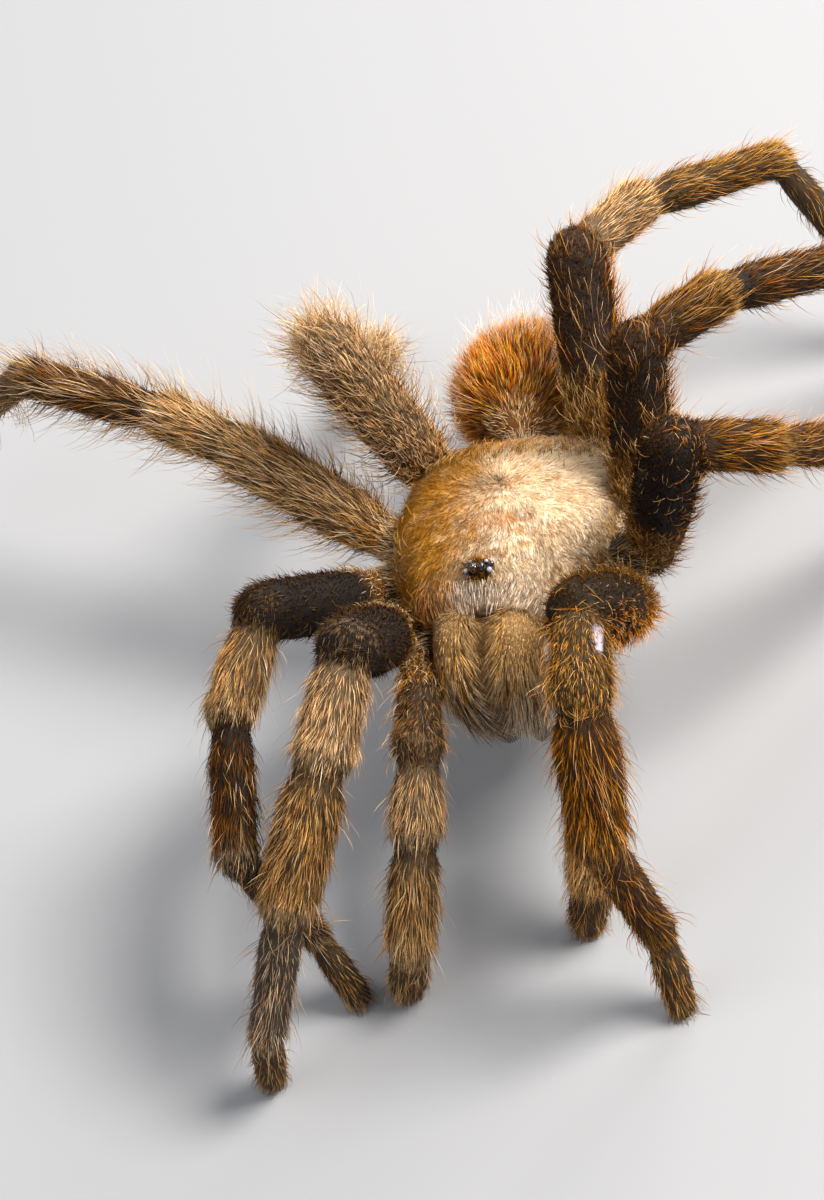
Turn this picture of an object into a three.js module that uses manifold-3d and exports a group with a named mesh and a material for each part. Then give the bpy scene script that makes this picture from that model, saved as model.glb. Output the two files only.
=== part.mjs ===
// A brown tarantula standing on level ground, at life size.
// Millimetres, +Z up. The head looks towards -Y, and the spider's left side is +X.
// Each body part is one closed solid that reaches out to the tips of its coat of hair.

import * as THREE from 'three';
import { mergeVertices } from 'three/addons/utils/BufferGeometryUtils.js';
import Module from 'manifold-3d';

const wasm = await Module();
wasm.setup();

const { degToRad } = THREE.MathUtils;
const point = (x, y, z) => new THREE.Vector3(x, y, z);
const UP = point(0, 0, 1);

// ---- driving dimensions ----

const HIP_HEIGHT = 13;      // the plane of the leg bases, above the ground
const GAP = 0.3;            // clear space between neighbouring solids
const EYE_GAP = 0.12;       // clear space round an eye in its socket
const COXA_DROP = 0.4;      // how far the coxae's inner ends lie under the hips
const TOE_HEIGHT = 0.25;    // height of a toe's centre line where it ends
// A toe's last sections: how far past its end each is, in radii, and how wide.
const TOE_SECTIONS = [{ past: -0.3, scale: 0.85 }, { past: 0.25, scale: 0.55 }];
const LIMB_SIDES = 10;      // facets round a limb
const BODY_SIDES = 14;      // facets round the body's larger parts
const MITRE_LIMIT = 1.12;   // most that a joint's section grows where a limb bends
const RING_SPACING = 5.2;   // rough distance between a limb's sections
const RING_SPARE = 0.4;     // least distance from a bent joint's section to the next one

// Hips and segment lengths. root is the inner end of the coxa and hip its outer end, for the
// left side. lengths run femur, patella, tibia, metatarsus, tarsus; a palp has no metatarsus.
// radii are each segment's start, middle and end, from the coxa outwards, coat included.
const LIMBS = {
  palp: {
    root: [2.0, -5.9], hip: [6.5, -9.2],
    lengths: [10.5, 6.2, 8.8, 5.5],
    radii: [[1.1, 1.5, 1.6], [1.6, 2.0, 2.1], [2.1, 2.3, 2.2], [2.2, 2.3, 2.0], [1.9, 1.9, 1.5]],
  },
  leg1: {
    root: [3.7, -4.4], hip: [9.2, -6.6],
    lengths: [15.5, 8.2, 11.2, 10.6, 7.0],
    radii: [[1.3, 1.9, 2.0], [2.2, 3.0, 2.7], [2.6, 2.6, 2.5], [2.5, 2.7, 2.3], [2.1, 1.9, 1.7],
      [1.6, 1.6, 1.3]],
  },
  leg2: {
    root: [4.0, -1.5], hip: [10.4, -2.6],
    lengths: [14.8, 8.0, 11.0, 10.6, 7.0],
    radii: [[1.3, 1.9, 2.0], [2.1, 2.7, 2.5], [2.3, 2.35, 2.2], [2.1, 2.05, 1.9], [1.8, 1.7, 1.6],
      [1.5, 1.5, 1.3]],
  },
  leg3: {
    root: [4.0, 1.4], hip: [10.0, 2.2],
    lengths: [14.8, 7.6, 13.4, 13.4, 7.2],
    radii: [[1.3, 1.9, 2.0], [2.1, 2.6, 2.4], [2.3, 2.35, 2.2], [2.2, 2.1, 1.9], [1.8, 1.7, 1.6],
      [1.5, 1.5, 1.3]],
  },
  leg4: {
    root: [3.4, 4.4], hip: [7.2, 8.2],
    lengths: [15.8, 7.8, 12.4, 12.8, 7.2],
    radii: [[1.3, 1.9, 2.1], [2.2, 2.8, 2.6], [2.4, 2.3, 2.2], [2.1, 2.0, 1.8], [1.7, 1.6, 1.5],
      [1.4, 1.4, 1.2]],
  },
};

// The stance, in degrees. turn heads a limb's plane from straight out to the side (0) to the
// rear (90) or the front (-90), tilt leans that plane, lift is the femur's slope, bends flex
// the joints after the femur, and sway turns the limb sideways at its patella-tibia joint.
// reach is how far the coxa's swing carries the hip out, back and up, in millimetres.
// The last segment slopes down to put its toe on the ground, unless it has a bend of its own:
// the third leg on the right is lifted in mid-step.
const STANCE = {
  left: {
    palp: { turn: -81, tilt: -12, lift: 29, bends: [82, 15], sway: -8 },
    leg1: { turn: -81, tilt: 6, lift: 51, bends: [44, 60, 32], sway: -28, reach: [1.0, 0, 0.6] },
    leg2: { turn: 13, tilt: 12, lift: 71, bends: [105, 14, 30], sway: 14, reach: [1.2, 0.4, 1.2] },
    leg3: { turn: 43, tilt: -7, lift: 68, bends: [76, 23, 25], sway: 7 },
    leg4: { turn: 64, tilt: -28, lift: 49, bends: [63, 17, 62], sway: -14, reach: [-0.7, 0.2, 0] },
  },
  right: {
    palp: { turn: -96, tilt: 19, lift: 12, bends: [45, 18], sway: 2 },
    leg1: { turn: -81, tilt: 17, lift: 51, bends: [75, 10, 23], sway: 2 },
    leg2: { turn: -70, tilt: -7, lift: 46, bends: [65, 5, 69], sway: -20 },
    leg3: { turn: 27, tilt: -3, lift: 24, bends: [13, 6, 45, 10], sway: -6 },
    leg4: { turn: 52, tilt: 9, lift: 78, bends: [113, 26, -12], sway: 9 },
  },
};

// Which segments each solid of a limb takes in, counted from the coxa.
const LEG_PIECES = { coxa: [0, 0], femur: [1, 1], shank: [2, 3], foot: [4, 5] };
const PALP_PIECES = { coxa: [0, 0], femur: [1, 1], shank: [2, 3], tarsus: [4, 4] };

const CARAPACE = {
  front: -8.8, rear: 9.2,                 // clypeus and rear edge, along Y
  widest: 1.5, halfWidth: 8.8,            // where the outline is widest, and its half width there
  reachFront: 11.5, reachRear: 8.6,       // how far the outline's two halves would run to a point
  margin: 2.1, rim: 1.0,                  // margin above the hips, and depth of the rim below it
  crown: -1.5, dome: 4.4,                 // where the back is highest, and its height there
  domeFront: 10.2, domeRear: 11.7,        // reach of the dome's two slopes
  squareness: 2.3,                        // of its sections: 2 is an ellipse
  outlinePower: 2.4, cornerPower: 2.1,    // how full the outline is, along and across
  domePower: 2.6,                         // how flat the back is on top
};
const HEAD_TURN = THREE.MathUtils.degToRad(-3);    // the head looks a little to the spider's right
const TUBERCLE = { centre: [0, -6.0, 5.73], size: [1.1, 0.85, 0.85] };
const EYES = {
  eye_front_median: { at: [0.36, -6.2, 6.38], radius: 0.3 },
  eye_front_lateral: { at: [0.9, -6.3, 6.05], radius: 0.24 },
  eye_rear_lateral: { at: [0.95, -5.72, 6.02], radius: 0.22 },
  eye_rear_median: { at: [0.62, -5.65, 6.28], radius: 0.17 },
};
const CHELICERA = {
  base: [2.2, -6.9, 2.0], bulge: [2.45, -13.0, 3.0], tip: [1.4, -11.2, -6.4],
  halfWidth: [2.05, 2.05, 1.4], halfDepth: [2.3, 2.7, 1.4],
};
const FANG = {
  base: [1.5, -11.0, -6.6], bulge: [1.5, -11.6, -9.4], tip: [0.9, -8.6, -9.6],
  radius: [0.85, 0.65, 0.3],
};
const STERNUM = {
  centre: -0.3, halfWidth: 2.9, halfLength: 5.2, top: 0.75, bottom: -2.4,
  bevel: 0.6, bevelScale: 0.75,
};
const ABDOMEN = {
  front: [-0.4, 10.0, 1.4], rear: [-3.0, 26.8, -5.4],
  halfWidth: 6.3, halfHeight: 6.0, fullness: 0.6, lean: 0.88, sections: 12, inset: 0.6,
};
const PEDICEL = { front: [0, 7.0, -0.1], rear: [-0.5, 11.4, 0.4], radius: 1.3 };
const SPINNERET = { side: 1.1, length: 3.4, inside: 1.2, radius: [0.85, 0.75, 0.45] };

// ---- solids ----

const BODY_COLOUR = {
  carapace: 0xb9874f, abdomen: 0x8d5a30, chelicera: 0x9a7148, limb: 0x5d4228, foot: 0x4d3825,
  underside: 0x3b2a1d, eye: 0x0c0a09, fang: 0x15100d,
};

function solidFromGeometry(geometry) {
  geometry.deleteAttribute('normal');
  geometry.deleteAttribute('uv');
  const merged = mergeVertices(geometry, 1e-3);
  return new wasm.Manifold(new wasm.Mesh({
    numProp: 3,
    vertProperties: new Float32Array(merged.attributes.position.array),
    triVerts: new Uint32Array(merged.index.array),
  }));
}

function geometryFromSolid(solid) {
  const mesh = solid.getMesh();
  const geometry = new THREE.BufferGeometry();
  geometry.setAttribute('position', new THREE.BufferAttribute(mesh.vertProperties, 3));
  geometry.setIndex(new THREE.BufferAttribute(mesh.triVerts, 1));
  return geometry;
}

// A closed body through rings of points, each running anticlockwise about the way ahead.
function loft(rings) {
  const sides = rings[0].length;
  const vertices = rings.flat();
  const middle = (ring) => ring.reduce((sum, p) => sum.add(p), point(0, 0, 0)).divideScalar(sides);
  const first = vertices.push(middle(rings[0])) - 1;
  const last = vertices.push(middle(rings.at(-1))) - 1;
  const lastRing = (rings.length - 1) * sides;
  const faces = [];
  for (let k = 0; k < sides; k += 1) {
    const next = (k + 1) % sides;
    faces.push(first, next, k, last, lastRing + k, lastRing + next);
    for (let ring = 0; ring < lastRing; ring += sides) {
      faces.push(ring + k, ring + next, ring + sides + next);
      faces.push(ring + k, ring + sides + next, ring + sides + k);
    }
  }
  const geometry = new THREE.BufferGeometry().setFromPoints(vertices);
  geometry.setIndex(faces);
  return solidFromGeometry(geometry);
}

// An elliptical ring about centre, square to the way ahead, with its top towards dorsal.
function ring(centre, ahead, dorsal, halfWidth, halfHeight, sides = LIMB_SIDES) {
  const top = dorsal.clone().addScaledVector(ahead, -dorsal.dot(ahead)).normalize();
  const side = ahead.clone().cross(top);
  return Array.from({ length: sides }, (_, k) => {
    const angle = (2 * Math.PI * k) / sides;
    return centre.clone()
      .addScaledVector(top, halfHeight * Math.cos(angle))
      .addScaledVector(side, halfWidth * Math.sin(angle));
  });
}

// The value at t of a smooth curve through a start, a middle and an end value.
function between([start, middle, end], t) {
  return start * (1 - t) * (1 - 2 * t) + middle * 4 * t * (1 - t) + end * t * (2 * t - 1);
}

// ---- limbs ----

// A limb's segments from coxa to toe: where each starts, the way it runs and which way is its top.
function layLimb(kind, side) {
  const { root, hip, lengths } = LIMBS[kind];
  const { turn, tilt, lift, bends, sway, reach = [0, 0, 0] } = STANCE[side > 0 ? 'left' : 'right'][kind];
  const outward = point(side * Math.cos(degToRad(turn)), Math.sin(degToRad(turn)), 0);
  const upward = UP.clone().applyAxisAngle(outward, side * degToRad(tilt));
  const inner = point(side * root[0], root[1], HIP_HEIGHT - COXA_DROP);
  const start = point(side * (hip[0] + reach[0]), hip[1] + reach[1], HIP_HEIGHT + reach[2]);
  const coxa = start.clone().sub(inner);
  const segments = [{
    start: inner, length: coxa.length(), ahead: coxa.normalize(), dorsal: UP.clone(),
  }];
  let slope = degToRad(lift);
  lengths.forEach((length, index) => {
    if (index > bends.length) {
      const drop = (TOE_HEIGHT - start.z) / length / Math.hypot(outward.z, upward.z);
      slope = Math.asin(Math.max(drop, -1)) - Math.atan2(outward.z, upward.z);
    } else if (index > 0) {
      slope -= degToRad(bends[index - 1]);
    }
    if (index === 2) {
      const axis = segments.at(-1).dorsal;
      outward.applyAxisAngle(axis, side * degToRad(sway));
      upward.applyAxisAngle(axis, side * degToRad(sway));
    }
    const ahead = outward.clone().multiplyScalar(Math.cos(slope))
      .addScaledVector(upward, Math.sin(slope));
    const dorsal = upward.clone().multiplyScalar(Math.cos(slope))
      .addScaledVector(outward, -Math.sin(slope));
    segments.push({ start: start.clone(), length, ahead, dorsal });
    start.addScaledVector(ahead, length);
  });
  return segments;
}

// The section at the joint between two segments, on the plane that halves their bend.
// shift moves it along the way ahead, and grow widens it.
function jointRing(before, after, radius, shift, grow) {
  const ahead = before.ahead.clone().add(after.ahead).normalize();
  const dorsal = before.dorsal.clone().add(after.dorsal);
  const mitre = Math.min(1 / ahead.dot(after.ahead), MITRE_LIMIT);
  const centre = after.start.clone().addScaledVector(ahead, shift);
  return ring(centre, ahead, dorsal, radius + grow, (radius + grow) * mitre);
}

// How far along its segment a section must stand to stay on its own side of a bent joint.
function jointReach(before, after, radius) {
  return radius * Math.tan(before.ahead.angleTo(after.ahead) / 2) + RING_SPARE;
}

// One solid of a limb, from segment first to segment last. grow swells it on all sides.
function limbSolid(kind, segments, [first, last], grow) {
  const { radii } = LIMBS[kind];
  const rings = [];
  for (let index = first; index <= last; index += 1) {
    const segment = segments[index];
    const { start, length, ahead, dorsal } = segment;
    const before = segments[index - 1];
    const after = segments[index + 1];
    const shift = index === first ? GAP / 2 - grow : 0;
    const sectionAt = (distance, scale = 1) => {
      const radius = between(radii[index], Math.min(distance / length, 1)) * scale + grow;
      rings.push(ring(start.clone().addScaledVector(ahead, distance), ahead, dorsal, radius, radius));
    };
    if (before) rings.push(jointRing(before, segment, radii[index][0], shift, grow));
    else sectionAt(-grow);
    const near = before ? jointReach(before, segment, radii[index][0]) : RING_SPARE;
    const toeRadius = radii[index][2];
    const far = length - (after ? jointReach(segment, after, toeRadius) : toeRadius);
    const steps = near < far ? Math.max(1, Math.round((far - near) / RING_SPACING)) : 0;
    for (let step = 0; step <= steps; step += 1) {
      sectionAt(steps ? near + ((far - near) * step) / steps : (near + far) / 2);
    }
    if (!after) {
      TOE_SECTIONS.forEach(({ past, scale }) => sectionAt(length + past * toeRadius, scale));
    } else if (index === last) {
      rings.push(jointRing(segment, after, toeRadius, grow - GAP / 2, grow));
    }
  }
  return loft(rings).subtract(ground);
}

const GROUND = { width: 300, depth: 20 };
const ground = solidFromGeometry(new THREE.BoxGeometry(GROUND.width, GROUND.width, GROUND.depth)
  .translate(0, 0, -GROUND.depth / 2));

// ---- body ----

// A point given for the left side and above the hips, as a place in the model.
const place = ([x, y, z], side = 1) => point(side * x, y, z + HIP_HEIGHT);

// The same, for what turns with the head: the shield, the eyes and the jaws.
const placeHead = (spot, side) => place(spot, side).applyAxisAngle(UP, HEAD_TURN);

function ball(centre, [x, y, z], grow, across, down) {
  const geometry = new THREE.SphereGeometry(1, across, down).scale(x + grow, y + grow, z + grow);
  return solidFromGeometry(geometry.translate(centre.x, centre.y, centre.z));
}

const END_POWER = 6;        // how suddenly a curved body rounds off at its ends
const END_SCALE = 0.3;      // and how wide it is left there

// A body along a curve bent by one control point, with round ends.
function curvedSolid({ base, bulge, tip }, side, widths, depths, grow, steps) {
  const ends = [base, bulge, tip].map((spot) => placeHead(spot, side));
  const curve = new THREE.QuadraticBezierCurve3(...ends);
  const rings = [];
  for (let step = 0; step <= steps; step += 1) {
    const t = step / steps;
    const round = Math.max(1 - Math.abs(2 * t - 1) ** END_POWER, END_SCALE);
    const ahead = curve.getTangent(t);
    const overrun = (step === steps ? grow : 0) - (step === 0 ? grow : 0);
    rings.push(ring(curve.getPoint(t).addScaledVector(ahead, overrun), ahead, point(0, -1, 0.3),
      between(widths, t) * round + grow, between(depths, t) * round + grow));
  }
  return loft(rings);
}

function carapace(grow) {
  const c = CARAPACE;
  const sections = 11;
  const bow = (value) => Math.sign(value) * Math.abs(value) ** (2 / c.squareness);
  const rings = [];
  for (let step = 0; step < sections; step += 1) {
    const along = -Math.cos((Math.PI * step) / (sections - 1));
    const y = THREE.MathUtils.lerp(c.front - grow, c.rear + grow, (along + 1) / 2);
    const reach = (y < c.widest ? c.reachFront : c.reachRear) + grow;
    const outline = 1 - Math.abs((y - c.widest) / reach) ** c.outlinePower;
    const width = c.halfWidth * outline ** (1 / c.cornerPower) + grow;
    const slope = y < c.crown ? c.domeFront : c.domeRear;
    const height = c.dome * (1 - Math.abs((y - c.crown) / (slope + grow)) ** c.domePower) + grow;
    rings.push(Array.from({ length: BODY_SIDES }, (_, k) => {
      const angle = (2 * Math.PI * k) / BODY_SIDES;
      const rise = bow(Math.cos(angle)) * (Math.cos(angle) > 0 ? height : c.rim + grow);
      return placeHead([width * bow(Math.sin(angle)), y, c.margin + rise]);
    }));
  }
  return loft(rings);
}

function sternum(grow) {
  const s = STERNUM;
  const levels = [[s.bottom - grow, s.bevelScale], [s.bottom + s.bevel, 1], [s.top + grow, 1]];
  return loft(levels.map(([z, scale]) => ring(place([0, s.centre, z]), UP, point(0, 1, 0),
    s.halfWidth * scale + grow, s.halfLength * scale + grow, BODY_SIDES)));
}

const abdomenAxis = new THREE.Line3(place(ABDOMEN.front), place(ABDOMEN.rear));

function abdomen(grow) {
  const { halfWidth, halfHeight, fullness, lean, sections, inset } = ABDOMEN;
  const ahead = abdomenAxis.delta(point()).normalize();
  const rings = [];
  for (let step = 0; step <= sections; step += 1) {
    const t = (1 - Math.cos((Math.PI * (step + inset)) / (sections + 2 * inset))) / 2;
    const swell = Math.sin(Math.PI * t ** lean) ** fullness;
    const overrun = (2 * t - 1) * grow;
    const centre = abdomenAxis.at(t, point()).addScaledVector(ahead, overrun);
    rings.push(ring(centre, ahead, UP, halfWidth * swell + grow, halfHeight * swell + grow,
      BODY_SIDES));
  }
  return loft(rings);
}

function pedicel(grow) {
  const from = place(PEDICEL.front);
  const ahead = place(PEDICEL.rear).sub(from).normalize();
  const radius = PEDICEL.radius + grow;
  return loft([from, place(PEDICEL.rear)].map((centre) => ring(centre, ahead, UP, radius, radius)));
}

function spinneret(side, grow) {
  const { side: offset, length, inside, radius } = SPINNERET;
  const ahead = abdomenAxis.delta(point()).normalize();
  const root = abdomenAxis.end.clone().addScaledVector(ahead, -inside);
  root.x += side * offset;
  return loft([0, 0.5, 1].map((t) => ring(root.clone().addScaledVector(ahead, t * length), ahead, UP,
    between(radius, t) + grow, between(radius, t) + grow)));
}

// ---- the model ----

const model = new THREE.Group();
const placed = [];

const boxesMeet = (a, b) => [0, 1, 2].every((i) => a.min[i] < b.max[i] && b.min[i] < a.max[i]);

// Adds a solid, cut clear of those placed before it. shape(grow) makes it, swollen by grow.
function add(name, colour, shape, gap = GAP) {
  let solid = shape(0);
  for (const other of placed) {
    if (boxesMeet(solid.boundingBox(), other.boundingBox())) solid = solid.subtract(other);
  }
  const [largest] = solid.decompose().sort((a, b) => b.volume() - a.volume());
  placed.push(shape(gap));
  const material = new THREE.MeshStandardMaterial({ color: colour, roughness: 0.8, metalness: 0 });
  const mesh = new THREE.Mesh(geometryFromSolid(largest), material);
  mesh.name = name;
  model.add(mesh);
}

const SIDES = { left: 1, right: -1 };

for (const [name, { at, radius }] of Object.entries(EYES)) {
  for (const [word, side] of Object.entries(SIDES)) {
    const size = [radius, radius, radius];
    add(`${name}_${word}`, BODY_COLOUR.eye, (grow) => ball(placeHead(at, side), size, grow, 6, 5), EYE_GAP);
  }
}
add('eye_tubercle', BODY_COLOUR.limb,
  (grow) => ball(placeHead(TUBERCLE.centre), TUBERCLE.size, grow, 10, 6));
add('carapace', BODY_COLOUR.carapace, carapace);
add('sternum', BODY_COLOUR.underside, sternum);
add('abdomen', BODY_COLOUR.abdomen, abdomen);
add('pedicel', BODY_COLOUR.underside, pedicel);

for (const [word, side] of Object.entries(SIDES)) {
  add(`chelicera_${word}`, BODY_COLOUR.chelicera, (grow) => curvedSolid(CHELICERA, side,
    CHELICERA.halfWidth, CHELICERA.halfDepth, grow, 7));
  add(`fang_${word}`, BODY_COLOUR.fang, (grow) => curvedSolid(FANG, side,
    FANG.radius, FANG.radius, grow, 6));
  add(`spinneret_${word}`, BODY_COLOUR.abdomen, (grow) => spinneret(side, grow));
}

for (const piece of ['coxa', 'femur', 'shank', 'foot', 'tarsus']) {
  for (const kind of Object.keys(LIMBS)) {
    const span = (kind === 'palp' ? PALP_PIECES : LEG_PIECES)[piece];
    if (!span) continue;
    const colour = piece === 'coxa' ? BODY_COLOUR.underside : BODY_COLOUR.limb;
    for (const [word, side] of Object.entries(SIDES)) {
      const segments = layLimb(kind, side);
      add(`${kind}_${piece}_${word}`, colour, (grow) => limbSolid(kind, segments, span, grow));
    }
  }
}

// The origin is on the ground under the middle of the whole model.
const middle = new THREE.Box3().setFromObject(model).getCenter(point());
model.position.set(-middle.x, -middle.y, 0);

export default model;
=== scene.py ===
import math
from dataclasses import dataclass

import bpy
import numpy as np
from mathutils import Matrix, Vector
from mathutils.bvhtree import BVHTree
from mathutils.kdtree import KDTree


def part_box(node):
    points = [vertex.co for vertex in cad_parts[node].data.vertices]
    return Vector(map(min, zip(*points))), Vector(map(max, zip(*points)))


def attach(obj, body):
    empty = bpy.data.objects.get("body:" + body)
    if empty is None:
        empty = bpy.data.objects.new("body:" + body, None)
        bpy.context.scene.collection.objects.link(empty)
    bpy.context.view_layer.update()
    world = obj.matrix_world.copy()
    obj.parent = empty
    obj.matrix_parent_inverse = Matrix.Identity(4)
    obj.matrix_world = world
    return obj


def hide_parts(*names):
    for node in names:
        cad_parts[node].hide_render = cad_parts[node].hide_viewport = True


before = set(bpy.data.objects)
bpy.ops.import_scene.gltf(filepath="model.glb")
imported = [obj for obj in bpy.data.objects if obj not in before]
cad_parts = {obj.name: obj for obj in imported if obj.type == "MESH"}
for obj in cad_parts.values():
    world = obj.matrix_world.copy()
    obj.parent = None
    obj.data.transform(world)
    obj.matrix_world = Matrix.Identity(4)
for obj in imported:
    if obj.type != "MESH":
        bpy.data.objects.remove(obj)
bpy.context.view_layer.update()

# A brown tarantula at life size: one skin, its coat of hairs, its eyes, fangs and claws.
# Shapes are worked out in millimetres about the middle of the body, with the head towards -Y
# and the spider's left side at +X, and they become metres in the frame when a mesh is made.

MM = 0.001
SIDES = {"left": 1, "right": -1}
UP = np.array([0.0, 0.0, 1.0])
BACK = np.array([0.0, 1.0, 0.0])

# ---- sizes ----

HIP_HEIGHT = 13.0        # the plane of the leg bases
COXA_DROP = 0.4          # how far the coxae's inner ends lie under that plane
TOE_HEIGHT = 0.25        # height of a toe's centre line where it ends
FLOOR_CLEARANCE = 0.02   # skin and hairs stay this far above the ground
VOXEL = 0.36             # grain of the skin's mesh
COLUMNS = 36             # points round a form

# Hips and segment lengths, as in the solids: root and hip are the coxa's two ends.
LIMBS = {
    "palp": dict(root=(2.0, -5.9), hip=(6.5, -9.2), lengths=(10.5, 6.2, 8.8, 5.5), radii=(
        (1.1, 1.5, 1.6), (1.6, 2.0, 2.1), (2.1, 2.3, 2.2), (2.2, 2.3, 2.0), (1.9, 1.9, 1.5))),
    "leg1": dict(root=(3.7, -4.4), hip=(9.2, -6.6), lengths=(15.5, 8.2, 11.2, 10.6, 7.0), radii=(
        (1.3, 1.9, 2.0), (2.2, 3.0, 2.7), (2.6, 2.6, 2.5), (2.5, 2.7, 2.3), (2.1, 1.9, 1.7),
        (1.6, 1.6, 1.3))),
    "leg2": dict(root=(4.0, -1.5), hip=(10.4, -2.6), lengths=(14.8, 8.0, 11.0, 10.6, 7.0), radii=(
        (1.3, 1.9, 2.0), (2.1, 2.7, 2.5), (2.3, 2.35, 2.2), (2.1, 2.05, 1.9), (1.8, 1.7, 1.6),
        (1.5, 1.5, 1.3))),
    "leg3": dict(root=(4.0, 1.4), hip=(10.0, 2.2), lengths=(14.8, 7.6, 13.4, 13.4, 7.2), radii=(
        (1.3, 1.9, 2.0), (2.1, 2.6, 2.4), (2.3, 2.35, 2.2), (2.2, 2.1, 1.9), (1.8, 1.7, 1.6),
        (1.5, 1.5, 1.3))),
    "leg4": dict(root=(3.4, 4.4), hip=(7.2, 8.2), lengths=(15.8, 7.8, 12.4, 12.8, 7.2), radii=(
        (1.3, 1.9, 2.1), (2.2, 2.8, 2.6), (2.4, 2.3, 2.2), (2.1, 2.0, 1.8), (1.7, 1.6, 1.5),
        (1.4, 1.4, 1.2))),
}

# The stance, in degrees, as in the solids.
STANCE = {
    "left": {
        "palp": dict(turn=-81, tilt=-12, lift=29, bends=(82, 15), sway=-8),
        "leg1": dict(turn=-81, tilt=6, lift=51, bends=(44, 60, 32), sway=-28, reach=(1.0, 0, 0.6)),
        "leg2": dict(turn=13, tilt=12, lift=71, bends=(105, 14, 30), sway=14, reach=(1.2, 0.4, 1.2)),
        "leg3": dict(turn=43, tilt=-7, lift=68, bends=(76, 23, 25), sway=7),
        "leg4": dict(turn=64, tilt=-28, lift=49, bends=(63, 17, 62), sway=-14, reach=(-0.7, 0.2, 0)),
    },
    "right": {
        "palp": dict(turn=-96, tilt=19, lift=12, bends=(45, 18), sway=2),
        "leg1": dict(turn=-81, tilt=17, lift=51, bends=(75, 10, 23), sway=2),
        "leg2": dict(turn=-70, tilt=-7, lift=46, bends=(65, 5, 69), sway=-20),
        "leg3": dict(turn=27, tilt=-3, lift=24, bends=(13, 6, 45, 10), sway=-6),
        "leg4": dict(turn=52, tilt=9, lift=78, bends=(113, 26, -12), sway=9),
    },
}
SEGMENTS = ("coxa", "femur", "patella", "tibia", "metatarsus", "tarsus")
PALP_SEGMENTS = ("coxa", "femur", "patella", "tibia", "tarsus")

CARAPACE = dict(front=-8.8, rear=9.2, widest=1.5, half_width=8.8, reach_front=11.5, reach_rear=8.6,
                margin=2.1, rim=1.0, crown=-1.5, dome=4.4, dome_front=10.2, dome_rear=11.7)
HEAD_TURN = math.radians(-3)    # the head looks a little to the spider's right
FOVEA = dict(y=2.3, half_width=1.3, half_length=0.55, depth=0.55)
TUBERCLE = dict(centre=(0, -6.0, 5.73), size=(1.1, 0.85, 0.85))
EYES = {
    "eye_front_median": dict(at=(0.36, -6.2, 6.38), radius=0.3),
    "eye_front_lateral": dict(at=(0.9, -6.3, 6.05), radius=0.24),
    "eye_rear_lateral": dict(at=(0.95, -5.72, 6.02), radius=0.22),
    "eye_rear_median": dict(at=(0.62, -5.65, 6.28), radius=0.17),
}
CHELICERA = dict(base=(2.2, -6.9, 2.0), bulge=(2.45, -13.0, 3.0), tip=(1.4, -11.2, -6.4),
                 widths=(2.05, 2.05, 1.4), depths=(2.3, 2.7, 1.4))
FANG = dict(base=(1.5, -11.0, -6.6), bulge=(1.5, -11.6, -9.4), tip=(0.9, -8.6, -9.6),
            radii=(0.85, 0.65, 0.3))
STERNUM = dict(centre=-0.3, half_width=2.9, half_length=5.2, top=0.75, bottom=-2.4)
ABDOMEN = dict(front=(-0.4, 10.0, 1.4), rear=(-3.0, 26.8, -5.4), half_width=6.3, half_height=6.0,
               fullness=0.6, lean=0.88)
PEDICEL = dict(front=(0, 7.0, -0.1), rear=(-0.5, 11.4, 0.4), radius=1.3)
SPINNERET = dict(side=1.1, length=3.4, inside=1.2, radii=(0.85, 0.75, 0.45))

# How far the skin lies inside the solids, which reach out to the tips of the coat.
COAT_DEPTH = dict(coxa=0.35, femur=0.4, patella=0.5, tibia=0.5, metatarsus=0.4, tarsus=0.35,
                  carapace=0.3, tubercle=0.15, chelicera=0.2, sternum=0.3, abdomen=1.0,
                  pedicel=0.3, spinneret=0.2)

# ---- colours ----


def paint(code):
    """A colour written as RRGGBB, in linear light."""
    values = np.array([int(code[i:i + 2], 16) / 255 for i in (0, 2, 4)])
    return np.where(values > 0.04045, ((values + 0.055) / 1.055) ** 2.4, values / 12.92)


INK = paint("0E0704")
JET = paint("2C1507")
SABLE = paint("3E230E")
COCOA = paint("5C3F24")
BARK = paint("402B10")
UMBER = paint("6E5234")
OCHRE = paint("826032")
TAN = paint("B88A54")
RUSSET = paint("64401A")
RUST = paint("A85E28")
BRONZE = paint("74481A")
HAZEL = paint("8C6B44")
FAWN = paint("B08C60")
SAND = paint("CCA77C")
SMOKE = paint("94806C")
AMBER = paint("C47A22")
FOX = paint("D4600E")
GOLD = paint("DDA654")
STRAW = paint("EBCB96")
CREAM = paint("FBEAD2")
BLUSH = paint("FBE6DE")
LILAC = paint("B4A8B4")

# The shade of each limb, from the femur outwards. The spider's right side is the greyer one.
# The pale femora of its two hind legs are painted light: dark femora painted as brightly lit.
SHADES = {
    "left": {
        "palp": (BRONZE, HAZEL, FAWN, HAZEL),
        "leg1": (BARK, OCHRE, BRONZE, BRONZE, HAZEL),
        "leg2": (JET, RUSSET, BRONZE, BRONZE, HAZEL),
        "leg3": (SABLE, RUSSET, SABLE, COCOA, HAZEL),
        "leg4": (SABLE, SAND, OCHRE, HAZEL, HAZEL),
    },
    "right": {
        "palp": (UMBER, SAND, FAWN, FAWN),
        "leg1": (JET, SAND, HAZEL, SMOKE, HAZEL),
        "leg2": (JET, FAWN, SABLE, COCOA, HAZEL),
        # Painted light: the pale femora of the two right hind legs.
        "leg3": (FAWN, FAWN, COCOA, FAWN, HAZEL),
        "leg4": (SAND, SAND, HAZEL, HAZEL, HAZEL),
    },
}

# ---- small tools ----


def unit(vectors):
    """Vectors of length one."""
    vectors = np.asarray(vectors, float)
    return vectors / np.maximum(np.linalg.norm(vectors, axis=-1, keepdims=True), 1e-9)


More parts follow.
